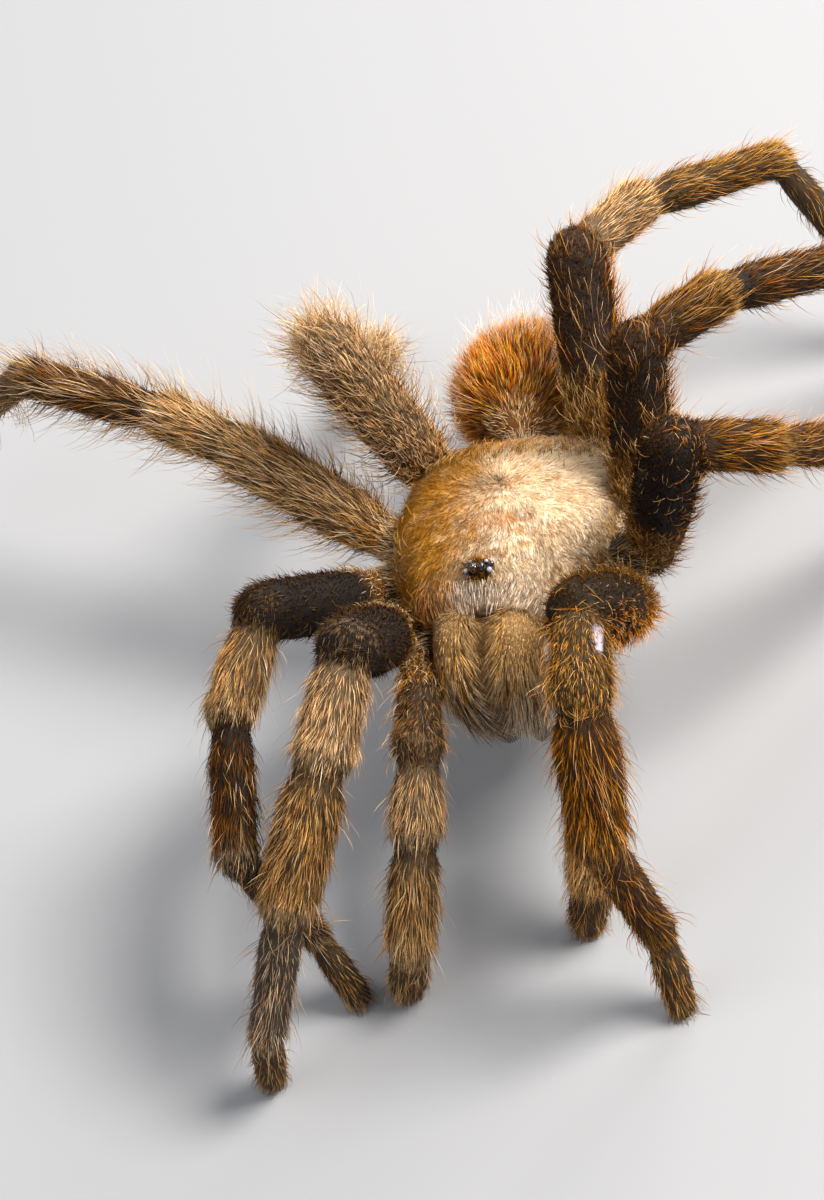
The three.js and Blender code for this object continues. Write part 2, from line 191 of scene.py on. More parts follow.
def turned(vector, axis, angle):
    """A vector turned about an axis of length one."""
    c, s = math.cos(angle), math.sin(angle)
    return vector * c + np.cross(axis, vector) * s + axis * (axis @ vector) * (1 - c)


def between(three, t):
    """The value at t of a smooth curve through a start, a middle and an end value."""
    start, middle, end = three
    return start * (1 - t) * (1 - 2 * t) + middle * 4 * t * (1 - t) + end * t * (2 * t - 1)


def ease(value, low, high):
    """0 below low, 1 above high, and smooth between them."""
    t = np.clip((np.asarray(value, float) - low) / (high - low), 0, 1)
    return t * t * (3 - 2 * t)


def bump(value, middle, spread):
    """A soft bell of height 1 about a middle value."""
    return np.exp(-((np.asarray(value, float) - middle) / spread) ** 2)


def mix(first, second, share):
    """Rows of colours or places part of the way from the first to the second."""
    share = np.asarray(share, float)[..., None]
    return np.asarray(first) * (1 - share) + np.asarray(second) * share


def ripple(places, size, seed):
    """Smooth random waves from -1 to 1 over places, about size across."""
    rng = np.random.default_rng(seed)
    total = np.zeros(len(places))
    for _ in range(5):
        heading = unit(rng.normal(size=3)) * (2 * math.pi / size) * rng.uniform(0.6, 1.5)
        total += np.sin(places @ heading + rng.uniform(0, 6.28))
    return np.clip(total / 3, -1, 1)


sternum_low, sternum_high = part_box("sternum")
SHIFT = np.array([
    (sternum_low.x + sternum_high.x) / 2 / MM,
    (sternum_low.y + sternum_high.y) / 2 / MM - STERNUM["centre"],
    0.0])


def in_frame(points):
    """Places about the body's middle, in millimetres, as places in the frame, in metres."""
    return (np.asarray(points, float) + SHIFT) * MM


def place(point, side=1):
    """A point given for the left side and above the hips."""
    return np.array([side * point[0], point[1], point[2] + HIP_HEIGHT], float)


def turned_head(points):
    """Places turned with the head, about the upright line through the body's middle."""
    c, s = math.cos(HEAD_TURN), math.sin(HEAD_TURN)
    return np.asarray(points, float) @ np.array([[c, s, 0], [-s, c, 0], [0, 0, 1]])


# ---- forms: each body part as a grid of points, going round it and along it ----


@dataclass
class Form:
    """A body part's skin, and which coat grows on it."""
    part: str
    grid: np.ndarray
    along: np.ndarray
    side: int = 1
    limb: str = "body"
    seed: int = 0


def ring_points(centre, ahead, top, half_width, half_height):
    """Points round an ellipse square to the way ahead, starting at its top."""
    top = unit(top - ahead * (ahead @ top))
    side = np.cross(ahead, top)
    angle = np.arange(COLUMNS) * (2 * math.pi / COLUMNS)
    return (centre + np.outer(np.cos(angle) * half_height, top)
            + np.outer(np.sin(angle) * half_width, side))


def lay_limb(kind, word):
    """A limb's segments from coxa to toe: start, length, way ahead and way up of each."""
    limb, stance = LIMBS[kind], STANCE[word][kind]
    side = SIDES[word]
    turn = math.radians(stance["turn"])
    reach = stance.get("reach", (0, 0, 0))
    outward = np.array([side * math.cos(turn), math.sin(turn), 0.0])
    upward = turned(UP, outward, side * math.radians(stance["tilt"]))
    inner = np.array([side * limb["root"][0], limb["root"][1], HIP_HEIGHT - COXA_DROP])
    start = np.array([side * (limb["hip"][0] + reach[0]), limb["hip"][1] + reach[1],
                      HIP_HEIGHT + reach[2]])
    segments = [(inner, np.linalg.norm(start - inner), unit(start - inner), UP)]
    slope = math.radians(stance["lift"])
    for index, length in enumerate(limb["lengths"]):
        if index > len(stance["bends"]):
            drop = (TOE_HEIGHT - start[2]) / length / math.hypot(outward[2], upward[2])
            slope = math.asin(max(drop, -1)) - math.atan2(outward[2], upward[2])
        elif index > 0:
            slope -= math.radians(stance["bends"][index - 1])
        if index == 2:
            axis = segments[-1][3]
            outward = turned(outward, axis, side * math.radians(stance["sway"]))
            upward = turned(upward, axis, side * math.radians(stance["sway"]))
        ahead = outward * math.cos(slope) + upward * math.sin(slope)
        dorsal = upward * math.cos(slope) - outward * math.sin(slope)
        segments.append((start, length, ahead, dorsal))
        start = start + ahead * length
    return segments


def limb_form(kind, word, index, segment):
    """One segment of a limb, with a narrow neck, a collar at its far end and round ends."""
    start, length, ahead, dorsal = segment
    parts = PALP_SEGMENTS if kind == "palp" else SEGMENTS
    part = parts[index]
    radii = LIMBS[kind]["radii"][index]
    depth = COAT_DEPTH[part]
    near, far = radii[0] - depth, radii[2] - depth
    is_toe = index == len(parts) - 1
    caps = np.cos(np.linspace(0, math.pi / 2, 6)[:-1])
    middle = np.linspace(0, length, max(8, int(length / 0.45)))
    end = 0.45 * far if is_toe else far
    distances = np.concatenate([-near * caps, middle, length + end * np.sort(caps)])
    grid = []
    for distance in distances:
        t = min(max(distance / length, 0), 1)
        radius = between(radii, t) - depth
        radius *= 1 - 0.18 * bump(distance, 1.0, 1.2) + 0.06 * bump(distance, length - 0.9, 0.7)
        if distance < 0:
            radius *= math.sqrt(max(1 - (distance / near) ** 2, 0.0004))
        elif distance > length:
            radius *= math.sqrt(max(1 - ((distance - length) / end) ** 2, 0.0004))
        grid.append(ring_points(start + ahead * distance, ahead, dorsal, radius, radius))
    return Form(part, np.array(grid), distances / length, SIDES[word], kind)


def carapace_form():
    """The back shield, with its pit, the grooves that run out from it and the raised head."""
    c = CARAPACE
    depth = COAT_DEPTH["carapace"]
    angle = np.arange(COLUMNS * 2) * (math.pi / COLUMNS)
    bow = lambda value: np.sign(value) * np.abs(value) ** (2 / 2.3)
    steps = -np.cos(np.linspace(0, math.pi, 60))
    grid = []
    for along in steps:
        y = c["front"] + depth + (c["rear"] - c["front"] - 2 * depth) * (along + 1) / 2
        reach = (c["reach_front"] if y < c["widest"] else c["reach_rear"]) - depth
        width = c["half_width"] * (1 - abs((y - c["widest"]) / reach) ** 2.4) ** (1 / 2.1) - depth
        slope = (c["dome_front"] if y < c["crown"] else c["dome_rear"]) - depth
        height = c["dome"] * (1 - abs((y - c["crown"]) / slope) ** 2.6) - depth
        lift = np.where(np.cos(angle) > 0, height, c["rim"] - depth)
        x = width * bow(np.sin(angle))
        z = HIP_HEIGHT + c["margin"] + lift * bow(np.cos(angle))
        upper = ease(np.cos(angle), 0.05, 0.5)
        z -= upper * carapace_relief(x, np.full_like(x, y))
        grid.append(np.stack([x, np.full_like(x, y), z], axis=1))
    return Form("carapace", turned_head(grid), (steps + 1) / 2)


def carapace_relief(x, y):
    """How deep the pit and the grooves press into the shield."""
    f = FOVEA
    pit = f["depth"] * bump(x, 0, f["half_width"]) * bump(y, f["y"], f["half_length"])
    away = np.hypot(x, y - f["y"])
    heading = np.degrees(np.arctan2(np.abs(x), -(y - f["y"])))
    grooves = sum(bump(heading, middle, 5.0) for middle in (38, 72, 103, 136))
    grooves = 0.34 * grooves * ease(away, 1.2, 3.0) * (1 - ease(away, 5.5, 8.0))
    head_side = 0.38 * bump(heading, 31, 5) * ease(away, 1.0, 3.0)
    return pit + grooves + head_side


def ball_form(part, centre, size):
    """A rounded lump, laid out from front to back."""
    turns = np.linspace(0.03, math.pi - 0.03, 16)
    grid = []
    for turn in turns:
        middle = centre - BACK * size[1] * math.cos(turn)
        grid.append(ring_points(middle, BACK, UP, size[0] * math.sin(turn),
                                size[2] * math.sin(turn)))
    return Form(part, np.array(grid), turns / math.pi)


def curve_rings(path, side, widths, depths, inset, steps, roundness):
    """Rings along a curve bent by one control point, and how far along each is."""
    base, bulge, tip = (turned_head(place(path[key], side)) for key in ("base", "bulge", "tip"))
    grid, shares = [], np.linspace(0, 1, steps)
    for t in shares:
        centre = base * (1 - t) ** 2 + bulge * 2 * t * (1 - t) + tip * t ** 2
        ahead = unit((bulge - base) * (1 - t) + (tip - bulge) * t)
        round_off = max(1 - abs(2 * t - 1) ** roundness, 0.05)
        grid.append(ring_points(centre, ahead, np.array([0, -1, 0.3]),
                                (between(widths, t) - inset) * round_off,
                                (between(depths, t) - inset) * round_off))
    return np.array(grid), shares


def chelicera_form(side):
    grid, shares = curve_rings(CHELICERA, side, CHELICERA["widths"], CHELICERA["depths"],
                               COAT_DEPTH["chelicera"], 30, 6)
    return Form("chelicera", grid, shares, side)


def sternum_form():
    """The breast plate between the legs, seen only from below."""
    s, depth = STERNUM, COAT_DEPTH["sternum"]
    levels = np.linspace(0, 1, 10)
    grid = []
    for level in levels:
        scale = math.sin(min(level * 2.2, 1) * math.pi / 2 * 0.97 + 0.05)
        z = s["bottom"] + depth + (s["top"] - s["bottom"]) * level
        grid.append(ring_points(place((0, s["centre"], z)), UP, BACK,
                                (s["half_width"] - depth) * scale,
                                (s["half_length"] - depth) * scale))
    return Form("sternum", np.array(grid), levels)


def abdomen_form():
    a, depth = ABDOMEN, COAT_DEPTH["abdomen"]
    front, rear = place(a["front"]), place(a["rear"])
    ahead = unit(rear - front)
    shares = (1 - np.cos(np.linspace(0.04, math.pi - 0.04, 44))) / 2
    grid = []
    for t in shares:
        swell = math.sin(math.pi * t ** a["lean"]) ** a["fullness"]
        centre = front + (rear - front) * t - ahead * (2 * t - 1) * depth
        grid.append(ring_points(centre, ahead, UP, max(a["half_width"] * swell - depth, 0.05),
                                max(a["half_height"] * swell - depth, 0.05)))
    return Form("abdomen", np.array(grid), shares)


def tube_form(part, start, end, radii, side=1):
    """A short straight tube with a round end."""
    ahead = unit(end - start)
    length = np.linalg.norm(end - start)
    shares = np.linspace(0, 1, 16)
    grid = []
    for t in shares:
        round_off = math.sqrt(max(1 - max(t - 0.8, 0) ** 2 / 0.04, 0.01))
        radius = (between(radii, t) - COAT_DEPTH[part]) * round_off
        grid.append(ring_points(start + ahead * length * t, ahead, UP, radius, radius))
    return Form(part, np.array(grid), shares, side)


def spinneret_form(side):
    s = SPINNERET
    rear = place(ABDOMEN["rear"])
    ahead = unit(rear - place(ABDOMEN["front"]))
    start = rear - ahead * s["inside"] + np.array([side * s["side"], 0, 0])
    return tube_form("spinneret", start, start + ahead * s["length"], s["radii"], side)


def all_forms():
    """Every part of flesh, numbered for its random draws."""
    forms = [carapace_form(), ball_form("tubercle", turned_head(place(TUBERCLE["centre"])),
                                        np.array(TUBERCLE["size"]) - COAT_DEPTH["tubercle"]),
             sternum_form(), abdomen_form()]
    radius = PEDICEL["radius"]
    forms.append(tube_form("pedicel", place(PEDICEL["front"]), place(PEDICEL["rear"]),
                           (radius, radius, radius)))
    for side in SIDES.values():
        forms += [chelicera_form(side), spinneret_form(side)]
    for kind in LIMBS:
        for word in SIDES:
            for index, segment in enumerate(lay_limb(kind, word)):
                forms.append(limb_form(kind, word, index, segment))
    for number, form in enumerate(forms):
        form.seed = number + 1
    return forms


# ---- meshes ----


def mesh_from(name, points, triangles, as_given=False):
    """An object from points and triangles, set in the frame unless they stay as given."""
    mesh = bpy.data.meshes.new(name)
    points = points if as_given else in_frame(points)
    mesh.vertices.add(len(points))
    mesh.vertices.foreach_set("co", np.ascontiguousarray(points, np.float32).ravel())
    mesh.loops.add(len(triangles) * 3)
    mesh.loops.foreach_set("vertex_index", np.ascontiguousarray(triangles, np.int32).ravel())
    mesh.polygons.add(len(triangles))
    mesh.polygons.foreach_set("loop_start", np.arange(len(triangles), dtype=np.int32) * 3)
    mesh.update(calc_edges=True)
    obj = bpy.data.objects.new(name, mesh)
    bpy.context.scene.collection.objects.link(obj)
    return obj


def grid_triangles(rows, columns, offset):
    """Triangles over a grid of rings, with a fan closing each end on a point of its own."""
    row, column = np.meshgrid(np.arange(rows - 1), np.arange(columns), indexing="ij")
    a = row * columns + column
    b = row * columns + (column + 1) % columns
    sides = np.stack([a, b, b + columns, a, b + columns, a + columns], axis=-1).reshape(-1, 3)
    k = np.arange(columns)
    following = (k + 1) % columns
    first, last = rows * columns, rows * columns + 1
    top = (rows - 1) * columns
    near = np.stack([np.full(columns, first), following, k], axis=1)
    far = np.stack([np.full(columns, last), top + k, top + following], axis=1)
    return np.concatenate([sides, near, far]) + offset


def closed_points(grid):
    """A grid's points and the middles of its two end rings."""
    ends = [grid[0].mean(axis=0), grid[-1].mean(axis=0)]
    return np.concatenate([grid.reshape(-1, 3), ends])


def joined(grids):
    """The points and the triangles of several closed grids, as those of one mesh."""
    points, triangles, count = [], [], 0
    for grid in grids:
        points.append(closed_points(grid))
        triangles.append(grid_triangles(*grid.shape[:2], count))
        count += len(points[-1])
    return np.concatenate(points), np.concatenate(triangles)


def points_of(mesh):
    """A mesh's points, one to a row."""
    points = np.empty(len(mesh.vertices) * 3, np.float32)
    mesh.vertices.foreach_get("co", points)
    return points.reshape(-1, 3).astype(float)


def set_values(mesh, name, kind, values):
    """An attribute on the mesh's points."""
    attribute = mesh.attributes.new(name, kind, "POINT")
    key = "color" if kind == "FLOAT_COLOR" else "value"
    attribute.data.foreach_set(key, np.ascontiguousarray(values, np.float32).ravel())


def with_alpha(colours):
    return np.concatenate([colours, np.ones((len(colours), 1))], axis=1)


def skin_mesh(forms):
    """One skin over all the forms: their union, remeshed and smoothed."""
    rough = mesh_from("rough_skin", *joined([form.grid for form in forms]), True)
    remesh = rough.modifiers.new("one_skin", "REMESH")
    remesh.mode = "VOXEL"
    remesh.voxel_size = VOXEL
    smooth = rough.modifiers.new("smooth", "SMOOTH")
    smooth.factor = 0.5
    smooth.iterations = 5
    graph = bpy.context.evaluated_depsgraph_get()
    result = bpy.data.meshes.new_from_object(rough.evaluated_get(graph))
    bpy.data.objects.remove(rough)
    return result


# ---- the coat ----


@dataclass
class Growth:
    """How the hairs at some places grow. Angles are in radians and lengths in millimetres."""
    length: np.ndarray
    lift: np.ndarray
    settle: np.ndarray
    width: np.ndarray
    root: np.ndarray
    middle: np.ndarray
    tip: np.ndarray
    lie: np.ndarray
    droop: np.ndarray = 0.0


@dataclass
class Spots:
    """Places on a form: how far along and round it, where, and which ways are up and on."""
    along: np.ndarray
    angle: np.ndarray
    where: np.ndarray
    normal: np.ndarray
    lie: np.ndarray
    rng: np.random.Generator

    def __len__(self):
        return len(self.along)

    def draw(self, low=0, high=1):
        """A random number for each spot."""
        return self.rng.uniform(low, high, len(self))

    def slope(self, low, high):
        """A random angle for each spot, between two given in degrees."""
        return np.radians(self.draw(low, high))

    def pick(self, values, odds=None):
        """One of a few values for each spot."""
        return self.rng.choice(values, len(self), p=odds)

    def taken(self, keep):
        return Spots(self.along[keep], self.angle[keep], self.where[keep], self.normal[keep],
                     self.lie[keep], self.rng)


def scatter(form, density, seed):
    """Random spots on a form, density of them to a square millimetre.

    density is a function of how far along it is, of how much it faces up (1 at the top and -1
    at the bottom) and of how much it faces the spider's right (1 there and -1 on the left)."""
    rng = np.random.default_rng(1000 * form.seed + seed)
    wrapped = np.concatenate([form.grid, form.grid[:, :1]], axis=1)
    near_a, near_b = wrapped[:-1, :-1], wrapped[:-1, 1:]
    far_a, far_b = wrapped[1:, :-1], wrapped[1:, 1:]
    along = (far_a - near_a + far_b - near_b) / 2
    around = (near_b - near_a + far_b - far_a) / 2
    normal = np.cross(around, along)
    area = np.linalg.norm(normal, axis=-1)
    rows, columns = area.shape
    t_cell = (form.along[:-1, None] + form.along[1:, None]) / 2 + np.zeros((1, columns))
    angle_cell = (np.arange(columns) + 0.5)[None, :] * (2 * math.pi / columns) + np.zeros((rows, 1))
    expected = area * density(t_cell, np.cos(angle_cell), np.sin(angle_cell))
    count = int(expected.sum())
    cells = rng.choice(rows * columns, size=count, p=(expected / expected.sum()).ravel())
    cell = row, column = np.divmod(cells, columns)
    on, over = rng.random(count), rng.random(count)
    where = mix(mix(near_a[cell], far_a[cell], on), mix(near_b[cell], far_b[cell], on), over)
    t = form.along[row] * (1 - on) + form.along[row + 1] * on
    angle = (column + over) * (2 * math.pi / columns)
    return Spots(t, angle, where, unit(normal[cell]), unit(along[cell]), rng)


def strand_points(spots, growth, rings):
    """The points of bent, tapering, three-sided hairs: rings round each, and its tip."""
    lie = growth.lie
    lie = unit(lie - spots.normal * np.sum(lie * spots.normal, axis=1, keepdims=True))
    start_way = (lie * np.cos(growth.lift)[:, None] + spots.normal * np.sin(growth.lift)[:, None])
    end_lift = growth.lift - growth.settle
    end_way = lie * np.cos(end_lift)[:, None] + spots.normal * np.sin(end_lift)[:, None]
    end_way[:, 2] -= growth.droop
    end_way = unit(end_way)
    bend = end_way - start_way
    across = unit(np.cross(start_way, spots.normal + 0.01))
    points, length = [], growth.length[:, None]
    for step in range(rings):
        share = step / rings
        centre = spots.where + length * (start_way * share + bend * share * share / 2)
        over = unit(np.cross(start_way + bend * share, across))
        radius = growth.width[:, None] / 2 * (1 - share) ** 0.7
        for corner in np.radians((90, 210, 330)):
            points.append(centre + radius * (across * math.cos(corner) + over * math.sin(corner)))
    points.append(spots.where + length * (start_way + bend / 2))
    points = np.stack(points, axis=1)
    points[..., 2] = np.maximum(points[..., 2], FLOOR_CLEARANCE)
    return points


def strand_triangles(rings):
    """One hair's triangles: a cap at the root, its sides and its point."""
    faces = [(0, 2, 1)]
    for step in range(rings - 1):
        for k in range(3):
            low, low_next = step * 3 + k, step * 3 + (k + 1) % 3
            faces += [(low, low_next, low_next + 3), (low, low_next + 3, low + 3)]
    top = (rings - 1) * 3
    faces += [(top + k, top + (k + 1) % 3, top + 3) for k in range(3)]
    return np.array(faces)


def strand_shares(rings):
    """How far from root to tip each of a hair's points is."""
    return np.array([step / rings for step in range(rings) for _ in range(3)] + [1.0])


SKIN_REACH = 0.42        # a spot further than this from the skin is inside another part
ROOT_DEPTH = 0.06        # how far under the skin a hair starts
PATCH = 0.003            # how far a hair spreads on the unwrapped skin
CHART_GAP = 0.008        # clear space round each form's chart


class Coat:
    """One piece of coat, gathered from hairs on several forms."""

    def __init__(self, name, slot, charts, tree):
        self.name, self.slot, self.tree = name, slot, tree
        self.columns = math.ceil(math.sqrt(charts))
        self.points, self.triangles, self.colours = [], [], []
        self.tones, self.maps, self.charts = [], [], {}
        self.count = 0

    def chart_places(self, form, spots):
        """The hairs' roots on the unwrapped skin: along the form, and round it from the belly."""
        cell = self.charts.setdefault(form.seed, len(self.charts))
        size = 1 / self.columns
        corner = np.array([cell % self.columns, cell // self.columns]) * size + CHART_GAP
        low, high = form.along[0], form.along[-1]
        share = np.stack([(spots.along - low) / (high - low),
                          (spots.angle / (2 * math.pi) + 0.5) % 1], axis=1)
        return corner + share * (size - 2 * CHART_GAP - PATCH)

    def add(self, form, spots, growth, rings):
        """Hairs of one growth on a form."""
        if not len(spots):
            return
        points = strand_points(spots, growth, rings)
        shares = strand_shares(rings)
        faces = strand_triangles(rings)
        hairs, each = len(spots), len(shares)
        lower = np.clip(shares * 2, 0, 1)[None, :, None]
        upper = np.clip(shares * 2 - 1, 0, 1)[None, :, None]
        root = growth.root if rings > 1 else mix(growth.root, growth.middle, 0.5)
        colours = root[:, None] * (1 - lower) + growth.middle[:, None] * (lower - upper)
        colours = colours + growth.tip[:, None] * upper
        colours = colours / np.maximum(colours.max(axis=-1, keepdims=True), 1)
        self.points.append(points.reshape(-1, 3))
        self.colours.append(colours.reshape(-1, 3))
        offsets = self.count + np.arange(hairs)[:, None, None] * each
        self.triangles.append((faces[None] + offsets).reshape(-1, 3))
        self.tones.append(np.repeat(spots.draw(), each))
        spread = np.stack([shares, (np.arange(each) % 3) / 2], axis=1) * PATCH
        corners = self.chart_places(form, spots)[:, None] + spread[faces.ravel()][None]
        self.maps.append(corners.reshape(-1, 2))
        self.count += hairs * each

    def grow(self, form, density, seed, growth, rings):
        """Scatters spots on a form, keeps those on the skin and grows hairs there."""
        spots = on_the_skin(self.tree, scatter(form, density, seed))
        self.add(form, spots, growth(spots), rings)

    def build(self, material):
        """The finished piece, riding on the body."""
        obj = mesh_from(self.name, np.concatenate(self.points), np.concatenate(self.triangles))
        set_values(obj.data, "coat_colour", "FLOAT_COLOR", with_alpha(np.concatenate(self.colours)))
        set_values(obj.data, "tone", "FLOAT", np.concatenate(self.tones))
        layer = obj.data.uv_layers.new(name="OFBake")
        layer.uv.foreach_set("vector", np.concatenate(self.maps).astype(np.float32).ravel())
        obj.data.materials.append(material)
        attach(obj, "root")


def on_the_skin(tree, spots):
    """The spots that really lie on the skin, not inside a neighbouring part, set on it."""
    keep, where = [], []
    for number, point in enumerate(spots.where):
        near, _, _, distance = tree.find_nearest(point)
        if distance < SKIN_REACH:
            keep.append(number)
            where.append(near)
    spots = spots.taken(np.array(keep, int))
    if len(spots):
        spots.where = np.array(where, float) - spots.normal * ROOT_DEPTH
    return spots


def swung(spots, amount, size, seed):
    """The lie of the coat, swung sideways in smooth waves and a little at random."""
    across = np.cross(spots.normal, spots.lie)
    swing = amount * ripple(spots.where, size, seed) + spots.rng.normal(0, amount * 0.6, len(spots))
    return unit(spots.lie + across * swing[:, None])


def tinted(spots, colours, spread=0.5):
    """A colour for each hair, drawn smoothly from a list that runs from usual to rare."""
    draw = spots.draw() ** (1 / spread) * (len(colours) - 1)
    low = np.floor(draw).astype(int).clip(0, len(colours) - 2)
    table = np.array(colours)
    return mix(table[low], table[low + 1], draw - low)


# The layers of each kind of limb coat: hairs to a square millimetre, their length at the
# segment's near and far end in millimetres, and how steeply they stand in degrees. The under
# hairs are dark, partly in their own colour and partly as painted shade between the over hairs,
# which are lighter, longer and bent. Setae are the long ones that stand out of both, given only
# as hairs to a square millimetre.
LAYERS = {
    "velvet": dict(under=(45, 0.4, 0.5, 48), over=(6, 0.7, 1.2, 55), setae=1.1),
    "coat": dict(under=(20, 0.6, 0.9, 34), over=(13, 1.1, 1.9, 28), setae=1.2),
    "stream": dict(under=(20, 0.7, 1.0, 30), over=(15, 1.6, 2.8, 21), setae=1.2),
    "foot": dict(under=(18, 0.5, 0.8, 36), over=(8, 0.9, 1.6, 28), setae=1.1),
    "coxa": dict(under=(11, 0.8, 1.2, 40), over=(7, 1.4, 2.3, 38), setae=0.6),
}
SETAE_MORE = dict(bristling=3.4, left=1.7)    # how many times more: hind legs, left knees
NECK = (0.9, 2.4)        # the short dark hairs at a segment's near end fade over this stretch
CUFF = 3.2               # length, at its far end, where the hairs grow long and pale
OVERHANG = (0.4, 1.2)    # how far those hairs reach past the joint


def is_bristling(form):
    """Whether a segment is of the two right hind legs, which bristle most and whose femora are painted
    pale, as brightly lit.
    """
    return form.side < 0 and form.limb in ("leg3", "leg4")


def is_velvety(form):
    """Whether a segment is a dark, velvety femur."""
    return form.part == "femur" and form.limb != "palp" and not is_bristling(form)


def is_foot(form):
    """Whether a segment is of a leg's foot, whose coat is a piece of its own."""
    return form.limb != "palp" and form.part in ("metatarsus", "tarsus")


def layers_of(form):
    """The layers of coat that a limb's segment wears."""
    if form.part == "coxa":
        return LAYERS["coxa"]
    if form.part == "femur":
        return LAYERS["velvet" if is_velvety(form) else "coat"]
    if form.part in ("patella", "tibia"):
        return LAYERS["stream" if form.side < 0 or form.limb == "palp" else "coat"]
    return LAYERS["foot"]


def shade_of(form):
    """A limb segment's own colour."""
    if form.part == "coxa":
        return HAZEL
    parts = PALP_SEGMENTS if form.limb == "palp" else SEGMENTS
    word = "left" if form.side > 0 else "right"
    return SHADES[word][form.limb][parts.index(form.part) - 1]


def span_of(form):
    """A limb segment's length."""
    ends = form.grid[-1].mean(axis=0) - form.grid[0].mean(axis=0)
    return np.linalg.norm(ends) / (form.along[-1] - form.along[0])


def bareness(form, t, up):
    """1 on the smooth membrane beside the left front knee, and 0 where the coat is whole."""
    if form.limb != "leg1" or form.part != "patella" or form.side < 0:
        return np.zeros_like(t)
    beside = bump(np.arccos(np.clip(up, -1, 1)), 1.1, 0.26)
    return beside * bump(t * span_of(form), 4.4, 1.5)


def layer_density(form, density):
    """A layer's density: thinner under the limb, and none on bare membrane."""
    def value(t, up, _):
        cover = 0.63 + 0.36 * up
        return density * cover * (1 - 0.9 * ease(bareness(form, t, up), 0.3, 0.7))
    return value


def leg_base(form, t):
    """1 where a femur starts, beside the shield, and 0 further out."""
    reach = 2.1 if form.side > 0 else 1.5
    return (form.part == "femur") * (1 - ease(t * span_of(form), 1.6 * reach, 3.4 * reach))


def limb_colours(form, spots, neck, cuff, light):
    """Root, middle and tip colours: dark at the neck, pale over the joint at the far end."""
    draw = spots.draw
    base = leg_base(form, spots.along) * draw(0.6, 1)
    shade = mix(shade_of(form), tinted(spots, (AMBER, GOLD), 0.8), base)
    patches = ripple(spots.where, 2.2, 11)
    if form.part == "femur":
        cuff = cuff * 0.3
    light = light * draw(0.5, 1.5) * (1 + 0.25 * patches)
    middle = mix(shade, tinted(spots, (AMBER, GOLD)), 0.2 * draw() ** 2)
    warm = draw() < (0.06 if is_velvety(form) else 0.12)
    glow = (RUST if form.side < 0 else AMBER) * min(1, 1.4 * shade_of(form).mean() / HAZEL.mean())
    middle = mix(middle, glow, 0.6 * warm)
    ridge = bump(np.cos(spots.angle), 1, 0.25) * (form.part in ("patella", "tibia"))
    # light is the layer's brightness, and for the under hairs it carries their painted shade.
    middle = middle * (light * (1 + 0.25 * ridge))[:, None]
    middle = mix(middle, JET, 0.8 * neck)
    pale = np.clip(0.12 + 0.6 * cuff + 0.15 * patches, 0, 1) * draw(0.4, 1.0)
    if is_velvety(form):
        pale = pale * np.maximum(0.15, base)
    light_ends = (GOLD, STRAW) if form.side > 0 else (STRAW, CREAM)
    tip = mix(middle * 1.4, tinted(spots, light_ends), pale * (1 - 0.8 * neck))
    root = mix(shade * 0.25, INK, 0.4 + 0.4 * draw())
    middle = mix(middle, tip, 0.5 * cuff)
    if form.part == "coxa":
        tip = tinted(spots, (CREAM, STRAW, GOLD))
        middle = mix(middle, tip, 0.6 * draw())
    return root, middle, tip


def limb_growth(form, spots, layer):
    """One layer of the coat of one segment. No hair reaches far past the segment's end."""
    draw = spots.draw
    _, near, far, steep = layers_of(form)[layer]
    t, span = np.clip(spots.along, 0, 1), span_of(form)
    neck = (1 - ease(t * span, *NECK)) * (0.4 if form.part == "tarsus" else 1)
    neck = neck * (1 - leg_base(form, t))
    cuff = ease((t - 1) * span, -CUFF, 0)
    length = (near + (far - near) * t) * (1 - 0.45 * neck) * (1 + 0.15 * cuff)
    length = length * draw(0.65, 1.25) * (1 + 0.15 * ripple(spots.where, 2.2, 11))
    room = (1 - t) * span + draw(*OVERHANG)
    if form.part != "tarsus":
        length = np.minimum(length, room)
    lift = np.radians(steep) * draw(0.5, 1.5) * (1 + 0.35 * neck)
    width = (0.065 if layer == "under" else 0.064) * draw(0.7, 1.2)
    # The under hairs are darker partly in their own colour and partly as painted shade in the gaps
    # under the over hairs.
    light = 0.26 if layer == "under" else 1.45
    if is_velvety(form):
        light = 0.7
    root, middle, tip = limb_colours(form, spots, neck, cuff, light)
    return Growth(length, lift, lift * draw(0.4, 1.3), width, root, middle, tip,
                  swung(spots, 0.22, 3.0, 21 + form.seed))


def seta_growth(form, spots):
    """Long, fine, bent hairs that stand out of the coat."""
    draw = spots.draw
    length = draw(1.4, 3.6) * (0.7 if form.part in ("tarsus", "coxa") else 1)
    length = length * (1.55 if is_bristling(form) else 1)
    lift = np.radians(draw(32, 68) + (12 if is_bristling(form) else 0))
    shade = shade_of(form)
    if form.side > 0:
        middle = tinted(spots, (AMBER, GOLD, FOX, STRAW), 0.8)
    else:
        middle = tinted(spots, (RUST, FAWN, STRAW, BLUSH), 0.9)
    middle = mix(middle, shade, 0.6 * draw())
    tip = tinted(spots, (STRAW, GOLD, BLUSH))
    if form.side < 0 and is_velvety(form):
        length, middle, tip = length * 0.6, middle * 0.2, tip * 0.3
    root = mix(shade * 0.35, middle, 0.2 if form.side > 0 else 0.1)
    return Growth(length, lift, lift * draw(0.4, 1.5), draw(0.05, 0.075), root, middle, tip,
                  swung(spots, 0.35, 4.0, 31 + form.seed))


def tuft_growth(form, spots):
    """Curved cream and golden hairs over a leg's base and along the shield's edge."""
    draw = spots.draw
    lift = spots.slope(30, 62)
    golden = (STRAW, GOLD, AMBER) if form.side > 0 else (CREAM, STRAW, GOLD, AMBER)
    middle = tinted(spots, golden, 0.9) * spots.pick((0.2, 0.7, 1.1))[:, None]
    return Growth(draw(1.0, 2.2), lift, lift * draw(0.9, 1.9), draw(0.05, 0.075),
                  tinted(spots, (SABLE, BRONZE)), middle, mix(middle, STRAW, 0.5 * draw()),
                  swung(spots, 0.5, 1.5, 45))


